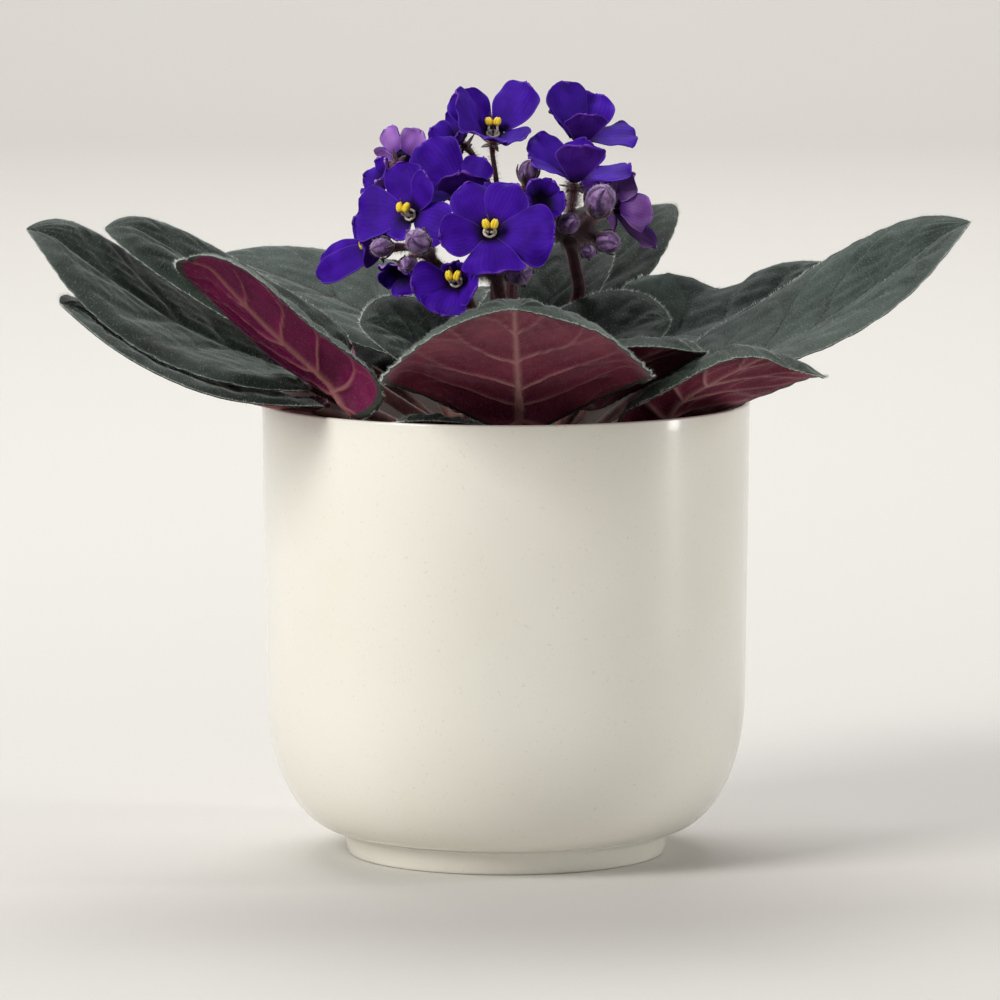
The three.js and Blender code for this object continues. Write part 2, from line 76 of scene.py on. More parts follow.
def pot_hollow_radius(z):
    """Radius of the pot's inside at a height, down to its floor."""
    bottom = SHOULDER_Z - FOOT_HEIGHT - FLOOR_THICKNESS
    drop = np.clip((SHOULDER_Z - z) / bottom, 0, 1)
    wall = np.interp(z, [SHOULDER_Z, POT_HEIGHT - 12, POT_HEIGHT], [POT_WALL, POT_WALL, LIP])
    return pot_radius(z - FLOOR_THICKNESS * drop) - wall - 1.5 * drop


def turn(profile, sides):
    """Points and faces of a turned body, from (radius, height) pairs that start and end on the axis."""
    ring = np.linspace(0, 2 * np.pi, sides, endpoint=False)
    around = np.stack([np.cos(ring), np.sin(ring)], 1)
    points = [(0, 0, profile[0][1])]
    for radius, z in profile[1:-1]:
        points += [(radius * x, radius * y, z) for x, y in around]
    points.append((0, 0, profile[-1][1]))
    step = np.arange(sides)
    after = (step + 1) % sides
    faces = [(0, 1 + b, 1 + a) for a, b in zip(step, after)]
    for row in range(len(profile) - 3):
        low, high = 1 + row * sides, 1 + (row + 1) * sides
        faces += [(low + a, low + b, high + b, high + a) for a, b in zip(step, after)]
    last = 1 + (len(profile) - 3) * sides
    faces += [(last + a, last + b, len(points) - 1) for a, b in zip(step, after)]
    return np.array(points, float), faces


def make_piece(name, parts, finishes, stands_for):
    """One piece from parts. A part is its points, its faces, its finish or one finish for each face,
    and its places on the maps."""
    points, faces, finish_of_face, count = [], [], [], 0
    maps = {}
    for part in parts:
        part_points, part_faces, finish = part[:3]
        points.append(part_points)
        faces += [tuple(int(i) + count for i in face) for face in part_faces]
        finish_of_face += finish if isinstance(finish, list) else [finish] * len(part_faces)
        for map_name, places in (part[3] if len(part) > 3 else {}).items():
            maps.setdefault(map_name, []).append((count, places))
        count += len(part_points)
    points = np.concatenate(points)
    mesh = bpy.data.meshes.new(name)
    mesh.from_pydata((points / 1000).tolist(), [], faces)
    for finish in finishes:
        mesh.materials.append(finish)
    mesh.polygons.foreach_set("material_index", finish_of_face)
    mesh.shade_smooth()
    corners = np.empty(len(mesh.loops), np.int32)
    mesh.loops.foreach_get("vertex_index", corners)
    for map_name, filled in maps.items():
        at = np.zeros((count, 2), np.float32)
        for start, places in filled:
            at[start : start + len(places)] = places
        mesh.uv_layers.new(name=map_name).data.foreach_set("uv", at[corners].ravel())
    made = bpy.data.objects.new(name, mesh)
    bpy.context.scene.collection.objects.link(made)
    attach(made, "root")
    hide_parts(stands_for)
    return made


def new_finish(name, sockets):
    """A finish with these values on its shader, and its node tree to add detail to."""
    finish = bpy.data.materials.new(name)
    finish.use_nodes = True
    tree = finish.node_tree
    shader = tree.nodes["Principled BSDF"]
    for socket, value in sockets.items():
        shader.inputs[socket].default_value = value
    return finish, tree, shader


def add(tree, kind, inputs, **settings):
    """A node with its settings. An input is a value, or the output of another node."""
    made = tree.nodes.new(kind)
    for key, value in settings.items():
        setattr(made, key, value)
    for socket, value in inputs.items():
        if isinstance(value, bpy.types.NodeSocket):
            tree.links.new(value, made.inputs[socket])
        else:
            made.inputs[socket].default_value = value
    return made


def blend_colours(tree, share, low, high):
    """low where share is 0 and high where it is 1."""
    mixed = add(tree, "ShaderNodeMix", {0: share, 6: low, 7: high}, data_type="RGBA")
    return mixed.outputs[2]


def ramp(tree, value, low, high, start=0.0, end=1.0):
    """value between low and high carried to start and end, and held outside them."""
    given = {"Value": value, "From Min": low, "From Max": high, "To Min": start, "To Max": end}
    return add(tree, "ShaderNodeMapRange", given, interpolation_type="SMOOTHSTEP").outputs[0]


def noise(tree, scale, detail=2.0, where=None):
    """Even noise through the piece, or over the given places."""
    if where is None:
        where = add(tree, "ShaderNodeTexCoord", {}).outputs["Object"]
    return add(tree, "ShaderNodeTexNoise", {"Vector": where, "Scale": scale, "Detail": detail}).outputs["Fac"]


def reckon(tree, operation, *values):
    return add(tree, "ShaderNodeMath", dict(enumerate(values)), operation=operation).outputs[0]


def roughen(tree, shader, height, strength, depth):
    """A fine relief, depth millimetres deep."""
    bump = add(tree, "ShaderNodeBump", {"Strength": strength, "Distance": depth / 1000, "Height": height})
    tree.links.new(bump.outputs[0], shader.inputs["Normal"])


coated = {"Roughness": 0.3, "Coat Weight": 0.8, "Coat Roughness": 0.12}
glaze, tree, shader = new_finish("satin_glaze", coated)
cloud, speck, orange_peel = noise(tree, 14.0, 3.0), noise(tree, 900.0), noise(tree, 260.0)
warm = blend_colours(tree, ramp(tree, cloud, 0.35, 0.65), (0.84, 0.815, 0.72, 1), (0.87, 0.85, 0.765, 1))
speckled = blend_colours(tree, ramp(tree, speck, 0.64, 0.76, 0, 0.35), warm, (0.62, 0.57, 0.47, 1))
tree.links.new(speckled, shader.inputs["Base Color"])
tree.links.new(ramp(tree, cloud, 0.3, 0.7, 0.3, 0.4), shader.inputs["Roughness"])
roughen(tree, shader, reckon(tree, "ADD", orange_peel, speck), 0.05, 0.4)

round_bottom = [SHOULDER_Z - (SHOULDER_Z - FOOT_HEIGHT) * math.sin(a) for a in np.linspace(np.pi / 2, 0, 40)]
outside = [(pot_radius(z), z) for z in round_bottom]
# the glaze gathers in a small round where the body meets the foot
crease = [(FOOT_TOP_RADIUS - 0.45 + 0.45 * math.cos(a), FOOT_HEIGHT - 0.5 + 0.4 * math.sin(a))
          for a in np.linspace(-1.2, 0.9, 6)]
straight = [(pot_radius(z), z) for z in np.linspace(SHOULDER_Z + 3, POT_HEIGHT - 0.7, 26)]
lip = [(RIM_RADIUS - LIP / 2 + LIP / 2 * math.cos(a), POT_HEIGHT - 0.7 + 0.7 * math.sin(a))
       for a in np.linspace(0, np.pi, 11)[1:-1]]
inside = [(pot_hollow_radius(z), z) for z in np.linspace(POT_HEIGHT - 0.8, SHOULDER_Z, 24)]
bottom_z = SHOULDER_Z - (SHOULDER_Z - FOOT_HEIGHT - FLOOR_THICKNESS) * np.sin(np.linspace(0.08, 1.25, 14))
inside += [(pot_hollow_radius(z), z) for z in bottom_z]
profile = [
    (0, FOOT_RECESS), (20, FOOT_RECESS), (FOOT_RING_INNER - 1.6, FOOT_RECESS),
    (FOOT_RING_INNER - 0.9, FOOT_RECESS - 0.4), (FOOT_RING_INNER - 0.2, 0.3), (FOOT_RING_INNER + 0.3, 0),
    (FOOT_RADIUS - 0.9, 0), (FOOT_RADIUS - 0.3, 0.2), (FOOT_RADIUS, 0.8),
    (FOOT_RADIUS + 0.6, 3), (FOOT_TOP_RADIUS - 0.5, 5.6),
    *crease, *outside[2:], *straight, *lip, *inside, (30, 10.9), (0, 10.5),
]
points, faces = turn(profile, POT_SIDES)
make_piece("glazed_pot", [(points, faces, 0)], [glaze], "pot")

# ---------------------------------------------------------------- potting soil
# Damp peat-based potting mix with a few grains of perlite, filled to a finger's width under the
# rim. Its crumbs lie loose on top, and it is pressed a little hollow round the plant.
SOIL_Z = 116
CRUMBS, PERLITE_EVERY = 700, 25
random = np.random.default_rng(5)


def two_tone(name, sockets, scale, detail, dark, light, edges=None, relief=None):
    """A finish that wanders between two colours, with a relief that follows the colour."""
    finish, tree, shader = new_finish(name, sockets)
    tone = noise(tree, scale, detail)
    share = ramp(tree, tone, *edges) if edges else tone
    tree.links.new(blend_colours(tree, share, dark, light), shader.inputs["Base Color"])
    if relief:
        roughen(tree, shader, tone, *relief)
    return finish


soil_finish = two_tone("damp_peat", {"Roughness": 0.95, "Specular IOR Level": 0.25}, 420.0, 5.0,
                       (0.012, 0.007, 0.004, 1), (0.075, 0.046, 0.028, 1), (0.35, 0.68), (0.6, 0.8))
perlite = two_tone("perlite", {"Roughness": 0.9}, 900.0, 3.0, (0.34, 0.3, 0.25, 1), (0.72, 0.69, 0.63, 1))


def soft_noise(points, size, seed):
    """Smooth noise from -1 to 1 at points, whose bumps are about size across."""
    wave = np.random.default_rng(seed)
    total = np.zeros(len(points))
    for _ in range(7):
        way = wave.normal(size=3)
        way *= wave.uniform(0.7, 1.5) / (np.linalg.norm(way) * size) * np.pi
        total += np.sin(points @ way + wave.uniform(0, 2 * np.pi))
    return total / 7 * 1.6


def hollow_at(radius):
    """How deep the hollow pressed round the plant is, from 0 to 1."""
    return math.exp(-(((radius - 18) / 14) ** 2))


soil_profile = [(0, 10.9), (30, 11.5), (42, 13.2), (48, 15)]
soil_profile += [(pot_hollow_radius(z) - 0.35, z) for z in np.linspace(19, SOIL_Z - 1.5, 12)]
soil_top = pot_hollow_radius(SOIL_Z) - 0.35
soil_profile += [(soil_top - 0.8, SOIL_Z - 0.2)]
soil_profile += [(r, SOIL_Z + 0.3 - 1.5 * hollow_at(r)) for r in np.linspace(soil_top - 2, 1.5, 34)]
soil_profile.append((0, SOIL_Z))
points, faces = turn(soil_profile, 120)
loose = points[:, 2] > SOIL_Z - 3
lumps = 0.9 * soft_noise(points, 9, 1) + 0.5 * soft_noise(points, 3.5, 2)
lumps += 0.3 * random.uniform(-1, 1, len(points))
inner = np.clip((soil_top - np.hypot(points[:, 0], points[:, 1])) / 4, 0, 1)
points[:, 2] += np.where(loose, lumps * inner, 0)
parts = [(points, faces, 0)]

ball = bmesh.new()
bmesh.ops.create_icosphere(ball, subdivisions=1, radius=1)
crumb_points = np.array([v.co[:] for v in ball.verts])
crumb_faces = [tuple(v.index for v in f.verts) for f in ball.faces]
ball.free()
for number in range(CRUMBS):
    radius, turned = (soil_top - 3) * math.sqrt(random.uniform(0.04, 1)), random.uniform(0, 2 * np.pi)
    white = number % PERLITE_EVERY == 0
    size = random.uniform(1, 1.9) if white else random.uniform(0.5, 1.9)
    shape = crumb_points * random.uniform(0.6, 1.25, (len(crumb_points), 1)) * size
    shape = shape * random.uniform(0.6, 1, 3)
    seat = SOIL_Z + 0.25 * size - 1.3 * hollow_at(radius)
    place = (radius * math.cos(turned), radius * math.sin(turned), seat)
    parts.append((shape + place, crumb_faces, int(white)))
make_piece("damp_soil", parts, [soil_finish, perlite], "potting_soil")

# ---------------------------------------------------------------- crown
# The plant's short thick stem stands in the soil. Leaf stalks leave it in a close spiral, and
# old leaves have left shallow scars and a corky skin on it.
CROWN_PROFILE = [(0, 116.3), (11, 116.3), (12, 117), (12, 124), (11.7, 132),
                 (11, 138), (9.4, 141), (6, 142), (0, 142)]

crown_finish = two_tone("corky_stem", {"Roughness": 0.85, "Sheen Weight": 0.2}, 300.0, 4.0,
                        (0.035, 0.012, 0.01, 1), (0.17, 0.085, 0.05, 1), (0.35, 0.7), (0.5, 0.6))
heights = np.linspace(0, len(CROWN_PROFILE) - 1, 49)
fine = [np.interp(heights, range(len(CROWN_PROFILE)), values) for values in zip(*CROWN_PROFILE)]
points, faces = turn(list(zip(*fine)), 72)
azimuth = np.arctan2(points[:, 1], points[:, 0])
scars = np.cos(5 * azimuth + points[:, 2] * 0.75) * np.cos(points[:, 2] * 1.1)
shrink = 1 - 0.045 * (scars > 0.45) - 0.02 * (1 + soft_noise(points, 3, 3))
points[:, :2] *= shrink[:, None]
make_piece("corky_crown", [(points, faces, 0)], [crown_finish], "crown")

# ---------------------------------------------------------------- leaves
# Thick heart-shaped leaves on round stalks, bent out over the rim. Their tops are dark green
# velvet, quilted between the veins, and their undersides are wine red with paler raised veins.
# Every margin rolls under and carries a fringe of short white hairs.
CROWN_RADIUS = 12.3
LEAF_STALK_RADIUS = 2.1
LEAF_THICKNESS = 1.6
# how far along the blade, and how far under its midrib, the stalk's middle runs
MIDRIB = ((0, LEAF_THICKNESS + LEAF_STALK_RADIUS - 1), (0.14, 2.1), (0.34, 1.5))
# the share of the outline that the base lobe takes, and how far the margin drops at most at the tip
LOBE_SHARE, TIP_ROLL = 0.4, 7
# how far the quilting stands up between the veins, and how far they sink
QUILTING, CREASE = 0.8, 0.3
# side veins leave the midrib at these shares of the margin, raised to this power
SIDE_VEINS, VEIN_START = [0.085, 0.22, 0.37, 0.53, 0.69, 0.84], 2.5
# hairs to each point of the margin, to 5000 square millimetres of blade above and below, and to a stalk
FRINGE_HAIRS, NAP_HAIRS, UNDER_HAIRS, STALK_HAIRS = 8, 3400, 900, 500
# root is the azimuth and height where the stalk leaves the crown. base and tip are the blade's ends, and
# arch is how far its middle rises between them. roll turns it about the midrib at its base and at its tip.
# cup lifts its left and right halves, and fold lifts both at the base. curl is how wide the rolled margin
# is, and how far it drops on the left and on the right. pointed and heart shape the outline. hook bends
# the tip down, tip_roll limits the roll there, and dent presses one side in. fine asks for a closer mesh.
LEAVES = {
    # left side
    "leaf_left_long": dict(
        root=(190, 124.3), base=(-66, -16, 152), tip=(-139, -26, 200), width=84, arch=-7, roll=(12, 22),
        cup=(4, 0), curl=(8, 3, 4), pointed=-0.1, hook=5),
    "leaf_left_low": dict(
        root=(200, 119.5), base=(-59, -26, 142.8), tip=(-132, -50, 176.5), width=66, arch=-9,
        roll=(-2, 14), cup=(8, 8), curl=(8, 3, 3), pointed=-0.5, heart=0, fold=0),
    "leaf_left_short": dict(
        root=(178, 129.1), base=(-50, -8.6, 154.4), tip=(-119.5, -2.5, 199), width=46, arch=0,
        roll=(10, 15), cup=(8, 8), curl=(9, 5, 3), pointed=-0.4, heart=0.4, hook=2),
    "leaf_left_back": dict(
        root=(165, 133.9), base=(-28, 28.5, 157), tip=(-94, 61, 181), width=60, arch=2, roll=(18, 10),
        cup=(14, 12), curl=(8, 3, 3)),
    "leaf_back_left": dict(
        root=(142, 124.3), base=(-38, 38, 146), tip=(-98, 86, 177), width=62, arch=0, cup=(14, 14),
        curl=(8, 4, 4)),
    # front
    "leaf_front_left": dict(
        root=(226, 124.3), base=(-47, -44.3, 146), tip=(-93, -82.4, 196), width=44.5, arch=-2,
        roll=(-34, -30), cup=(-6, 44), curl=(13, 13, 3), pointed=-0.5, heart=0, tip_roll=9, fine=True),
    "leaf_front": dict(
        root=(274, 119.5), base=(4, -50, 142), tip=(2, -130, 186), width=81, arch=2, cup=(1, -2),
        curl=(9, 8, 8), pointed=0.25, heart=0.2, fold=28, fine=True),
    "leaf_front_right": dict(
        root=(328, 119.5), base=(44, -31.3, 139.5), tip=(85, -69.5, 165.4), width=47, arch=1,
        roll=(6, 13), cup=(-2, 15), curl=(15, 3, 12), pointed=-1, tip_roll=10, fine=True),
    "leaf_front_middle": dict(
        root=(305, 124.3), base=(22, -34, 146), tip=(56, -64, 167), width=46, arch=2, roll=(8, 8),
        cup=(10, 14), curl=(8, 6, 6)),
    "leaf_under_front": dict(
        root=(252, 129.1), base=(-12, -32, 134.9), tip=(-30, -62, 143.4), width=26, arch=0, roll=(-6, -6),
        cup=(6, 6), curl=(6, 3, 3), fold=0),
    # right side
    "leaf_right_long": dict(
        root=(352, 124.3), base=(58, -10, 147), tip=(136.5, -20, 200.5), width=69, arch=-6,
        roll=(-2, -28), cup=(18, 8), curl=(9, 2.5, 3), pointed=0.2, hook=4, fine=True),
    "leaf_right_short": dict(
        root=(12, 129.1), base=(39, 26, 155), tip=(104, 58, 180), width=52, arch=-4, roll=(-20, 8),
        cup=(44, -4), curl=(7, 3, 3), dent=(-1, 0.6, 0.1, 9), heart=0.6),
    # back
    "leaf_back_right": dict(
        root=(30, 119.5), base=(45, 36, 144), tip=(98, 88, 160), width=62, arch=3, cup=(12, 12),
        curl=(8, 4, 4)),
    "leaf_back": dict(
        root=(95, 119.5), base=(3, 54, 144), tip=(1, 131, 166), width=58, arch=3, cup=(12, 12),
        curl=(8, 4, 4)),
    "leaf_back_upright": dict(
        root=(66, 133.9), base=(18.5, 56, 158.3), tip=(44, 86, 196), width=56, arch=2, cup=(14, 14),
        curl=(8, 3, 3), pointed=-0.5, heart=0.2),
    # small leaves round the flower stalks
    "leaf_inner_left": dict(
        root=(196, 138.7), base=(-17, 0, 151), tip=(-44, -8, 166), width=44, arch=1, roll=(34, 30),
        cup=(14, 14), curl=(5, 2, 2)),
    "leaf_inner_right": dict(
        root=(334, 138.7), base=(17, -7, 151), tip=(50, -10, 167), width=44, arch=2, roll=(-32, -30),
        cup=(14, 14), curl=(5, 2, 2)),
    "leaf_inner_back": dict(
        root=(80, 138.7), base=(6, 28, 155), tip=(28, 52, 187), width=46, arch=2, cup=(14, 14),
        curl=(5, 2, 2)),
}


def unit(vectors):
    return vectors / np.maximum(np.linalg.norm(vectors, axis=-1, keepdims=True), 1e-9)


def ease(share):
    share = np.clip(share, 0, 1)
    return share * share * (3 - 2 * share)


def bezier(corners, u):
    a, b, c, d = [np.array(p, float) for p in corners]
    u = np.asarray(u, float)[:, None]
    return (1 - u) ** 3 * a + 3 * (1 - u) ** 2 * u * b + 3 * (1 - u) * u**2 * c + u**3 * d


def half_blade(s, pointed, heart):
    """The blade's half outline, one wide and one long, from its base (s = 0) to its tip (s = 1)."""
    lobe = bezier([(0, 0), (0.2, -0.07 * heart), (0.5, -0.13 * heart), (0.5, 0.27)], s / LOBE_SHARE)
    shoulder, neck = (0.5, 0.64 - 0.14 * pointed), (0.3 - 0.2 * pointed, 0.95 - 0.11 * pointed)
    side = bezier([(0.5, 0.27), shoulder, neck, (0, 1)], (s - LOBE_SHARE) / (1 - LOBE_SHARE))
    return np.where((s < LOBE_SHARE)[:, None], lobe, side)


class Blade:
    """A leaf's blade bent in space round its midrib."""

    def __init__(self, leaf):
        self.leaf = leaf
        self.base, self.tip = np.array(leaf["base"], float), np.array(leaf["tip"], float)
        self.length = np.linalg.norm(self.tip - self.base)
        along = unit(self.tip - self.base)
        up = unit(np.array([0, 0, 1.0]) - along * along[2])
        self.middle = (self.base + self.tip) / 2 + up * 2 * leaf["arch"]
        outline = half_blade(np.linspace(0, 1, 241), leaf.get("pointed", 0), leaf.get("heart", 1))
        self.margin = outline * (leaf["width"], self.length)

    def frame(self, y):
        """Origin, right and normal of the midrib at y from the base."""
        y = np.atleast_1d(np.asarray(y, float))
        q = np.clip(y / self.length, 0, 1)[:, None]
        tangent = unit(2 * (1 - q) * (self.middle - self.base) + 2 * q * (self.tip - self.middle))
        level = unit(np.array([0, 0, 1.0]) - tangent * tangent[:, 2:])
        side = np.cross(tangent, level)
        start, end = self.leaf.get("roll", (0, 0))
        roll = np.radians(start + (end - start) * q)
        right = side * np.cos(roll) + level * np.sin(roll)
        normal = level * np.cos(roll) - side * np.sin(roll)
        origin = (1 - q) ** 2 * self.base + 2 * q * (1 - q) * self.middle + q**2 * self.tip
        origin += np.minimum(y, 0)[:, None] * tangent
        return origin, right, normal

    def flat(self, s, t):
        """Where a point of the blade lies before it is bent: across and along the midrib."""
        leaf = self.leaf
        edge = half_blade(s, leaf.get("pointed", 0), leaf.get("heart", 1))
        a = np.abs(t)
        x = edge[:, 0] * leaf["width"] * t
        start = s**VEIN_START
        y = self.length * (start + (edge[:, 1] - start) * a - 0.05 * np.sin(np.pi * a) * (1 - s))
        return x, y

    def bend(self, s, t, x, y):
        leaf = self.leaf
        origin, right, normal = self.frame(y)
        fold = leaf.get("fold", 8) * np.maximum(0, 1 - np.maximum(0, y) / (0.6 * self.length)) ** 2
        cup = np.radians(np.where(t < 0, leaf["cup"][0], leaf["cup"][1]) + fold)
        flat = np.stack([np.abs(x), y], 1)
        to_margin = np.full(len(x), 1e9)
        for corner in self.margin:
            to_margin = np.minimum(to_margin, np.hypot(*(flat - corner).T))
        width, left, right_curl = leaf["curl"]
        # the roll of the side that rolls most runs on round the tip and fades down the other side
        share = ease(t + 0.5)
        round_tip = ease((s - 0.55) / 0.45)
        share = np.maximum(share, round_tip) if right_curl > left else np.minimum(share, 1 - round_tip)
        rolled = left + (right_curl - left) * share
        rolled = rolled + (np.minimum(rolled, leaf.get("tip_roll", TIP_ROLL)) - rolled) * round_tip
        drop = np.maximum(0, 1 - to_margin / width) ** 2 * rolled
        drop = drop + leaf.get("hook", 0) * np.clip((s - 0.78) / 0.22, 0, 1) ** 2
        side, place, spread, depth = leaf.get("dent", (1, 0, 1, 0))
        dent = np.where(t * side > 0, depth * t * t * np.exp(-(((s - place) / spread) ** 2)), 0)
        lift = np.sin(cup) * (np.hypot(x, 4) - 4) - drop - dent
        return origin + right * (x * np.cos(cup))[:, None] + normal * lift[:, None], to_margin, rolled

    def relief(self, s, t, x, y):
        """How strong the veins are at each point, and how high the quilting stands between them."""
        a = np.abs(t)
        scale = self.length * (VEIN_START * np.maximum(s, 0.03) ** 0.8 * (1 - a) + 1.25 * a)
        width = self.leaf["width"]
        veins = np.exp(-((x / (0.95 + 0.5 * np.clip(1 - y / self.length, 0, 1))) ** 2)) * (1 - 0.5 * s)
        nearest = np.full(len(s), 1e9)
        forked = np.maximum(0, a - 0.5) ** 1.2
        for number, vein in enumerate(SIDE_VEINS):
            bow = 0.012 * np.sin(7 * a + 2.1 * number + np.sign(t))
            for branch, weight in ((0.22, 1.0), (-0.2, 0.8)):
                off = np.abs(s - vein - bow - branch * forked * (1 - 0.5 * vein)) * scale
                strength = (0.9 - 0.55 * a) * weight * np.exp(-((off / (1.15 - 0.6 * a)) ** 2))
                strength = strength * np.clip((1 - s) * 5, 0, 1)
                veins = np.maximum(veins, strength * np.clip((1 - a) * 9, 0, 1))
                nearest = np.minimum(nearest, off)
        ladder = np.abs((a * width * 0.5 / 6.5 + 0.35 * np.sin(11 * s + 3 * np.sign(t))) % 1 - 0.5) * 6.5
        veins = np.maximum(veins, 0.22 * np.exp(-((ladder / 0.5) ** 2)) * np.clip((1 - a) * 6, 0, 1))
        quilt = ease(nearest / 4.5) * ease(np.abs(x) / 5) * np.clip((1 - a) * 4, 0, 1)
        return veins, quilt * (0.6 + 0.4 * ease(ladder / 2.6))


def grid_skin(rows, columns):
    """Faces of a skin of rows by columns points whose first and last rows are one point each."""
    index = np.zeros((rows, columns), int)
    count = 1
    for row in range(1, rows - 1):
        index[row] = np.arange(count, count + columns)
        count += columns
    index[-1] = count
    faces = []
    for row in range(rows - 1):
        for column in range(columns - 1):
            a, b = index[row, column], index[row, column + 1]
            c, d = index[row + 1, column], index[row + 1, column + 1]
            faces.append((a, b, c) if c == d else (a, d, c) if a == b else (a, b, d, c))
    return index, faces


def skin_normals(points, faces):
    normals = np.zeros_like(points)
    for size in (3, 4):
        some = np.array([f for f in faces if len(f) == size])
        if len(some):
            a, b, c = points[some[:, 0]], points[some[:, 1]], points[some[:, -1]]
            across = np.cross(b - a, c - a) if size == 3 else np.cross(points[some[:, 2]] - a, c - b)
            for corner in range(size):
                np.add.at(normals, some[:, corner], across)
    return unit(normals)


def closed_skin(top, under, index, faces):
    """A top and an underside joined round their rim: points, faces, each face's finish, and the rim."""
    rim = np.array([index[0, 0], *index[1:-1, 0], index[-1, 0], *index[-2:0:-1, -1]])
    low = len(top)
    strip = [(b, a, a + low, b + low) for a, b in zip(rim, np.roll(rim, -1))]
    skin = faces + strip + [tuple(i + low for i in f[::-1]) for f in faces]
    return np.concatenate([top, under]), skin, [0] * (len(faces) + len(strip)) + [1] * len(faces), rim


def smooth_path(corners, count):
    """Points along a centripetal curve through the corners, evenly spaced."""
    corners = [np.array(p, float) for p in corners]
    corners = [2 * corners[0] - corners[1], *corners, 2 * corners[-1] - corners[-2]]
    path = []
    for a, b, c, d in zip(corners, corners[1:], corners[2:], corners[3:]):
        first, step, last = [max(np.linalg.norm(q - p) ** 0.5, 1e-4) for p, q in ((a, b), (b, c), (c, d))]
        start = ((b - a) / first - (c - a) / (first + step) + (c - b) / step) * step
        end = ((c - b) / step - (d - b) / (step + last) + (d - c) / last) * step
        square, cube = 3 * (c - b) - 2 * start - end, 2 * (b - c) + start + end
        for u in np.linspace(0, 1, 12, endpoint=False):
            path.append(b + start * u + square * u**2 + cube * u**3)
    path = np.array([*path, corners[-2]])
    run = np.concatenate([[0], np.cumsum(np.linalg.norm(np.diff(path, axis=0), axis=1))])
    at = np.linspace(0, run[-1], count)
    return np.stack([np.interp(at, run, path[:, k]) for k in range(3)], 1)


def rod(path, radii, sides):
    """A round tapered rod along a path, closed at both ends."""
    path, radii = np.asarray(path, float), np.broadcast_to(radii, len(path))
    along = unit(np.gradient(path, axis=0))
    side = unit(np.cross(along[0], [0.3, 0.9, 0.2]))
    rings, outward = [], []
    turn_angle = np.linspace(0, 2 * np.pi, sides, endpoint=False)[:, None]
    for point, way, radius in zip(path, along, radii):
        side = unit(side - way * (side @ way))
        spokes = np.cos(turn_angle) * side + np.sin(turn_angle) * np.cross(way, side)
        rings.append(point + radius * spokes)
        outward.append(spokes)
    count = len(path) * sides
    ends = [path[:1] - along[0] * radii[0] * 0.4, path[-1:] + along[-1] * radii[-1] * 0.4]
    points = np.concatenate([*rings, *ends])
    faces = []
    for ring in range(len(path) - 1):
        for k in range(sides):
            a, b = ring * sides + k, ring * sides + (k + 1) % sides
            faces.append((a, b, b + sides, a + sides))
    for k in range(sides):
        after = (k + 1) % sides
        faces.append((count, after, k))
        faces.append((count + 1, count - sides + k, count - sides + after))
    return points, faces, np.concatenate(outward)


def hairs(roots, ways, lengths, radius=0.045):
    """Fine tapering hairs, each a three-sided spike set a little into the skin."""
    ways = unit(ways)
    side = unit(np.cross(ways, [0.31, 0.52, 0.79]))
    other = np.cross(ways, side)
    roots = roots - ways * 0.15
    ring = [roots + radius * (math.cos(a) * side + math.sin(a) * other) for a in (0, 2.094, 4.189)]
    points = np.stack([*ring, roots + ways * lengths[:, None]], 1).reshape(-1, 3)
    start = np.arange(len(roots)) * 4
    faces = [(a, a + 1, a + 3) for a in start] + [(a + 1, a + 2, a + 3) for a in start]
    faces += [(a + 2, a, a + 3) for a in start]
    return points, faces


def scatter(points, faces, normals, count, random):
    """Random places on a skin, with the skin's normal at each."""
    corner = np.array([f[:3] for f in faces])
    a, b, c = points[corner[:, 0]], points[corner[:, 1]], points[corner[:, 2]]
    area = np.linalg.norm(np.cross(b - a, c - a), axis=1)
    picked = random.choice(len(corner), count, p=area / area.sum())
    u, v = random.uniform(0, 1, (2, count))
    flip = u + v > 1
    u, v = np.where(flip, 1 - u, u)[:, None], np.where(flip, 1 - v, v)[:, None]
    place = a[picked] + u * (b - a)[picked] + v * (c - a)[picked]
    return place, unit(normals[corner[picked, 0]] + normals[corner[picked, 1]] + normals[corner[picked, 2]])


def on_map(tree, name):
    return add(tree, "ShaderNodeUVMap", {}, uv_map=name).outputs[0]


def two_of_map(tree, name):
    """The two numbers that a map holds at each place."""
    return add(tree, "ShaderNodeSeparateXYZ", {0: on_map(tree, name)}).outputs


def furred(roughness, weight, spread, tint, gloss=0.5):
    """Shader values for a surface whose short hair catches the light."""
    return {"Roughness": roughness, "Sheen Weight": weight, "Sheen Roughness": spread,
            "Sheen Tint": (*tint, 1), "Specular IOR Level": gloss}


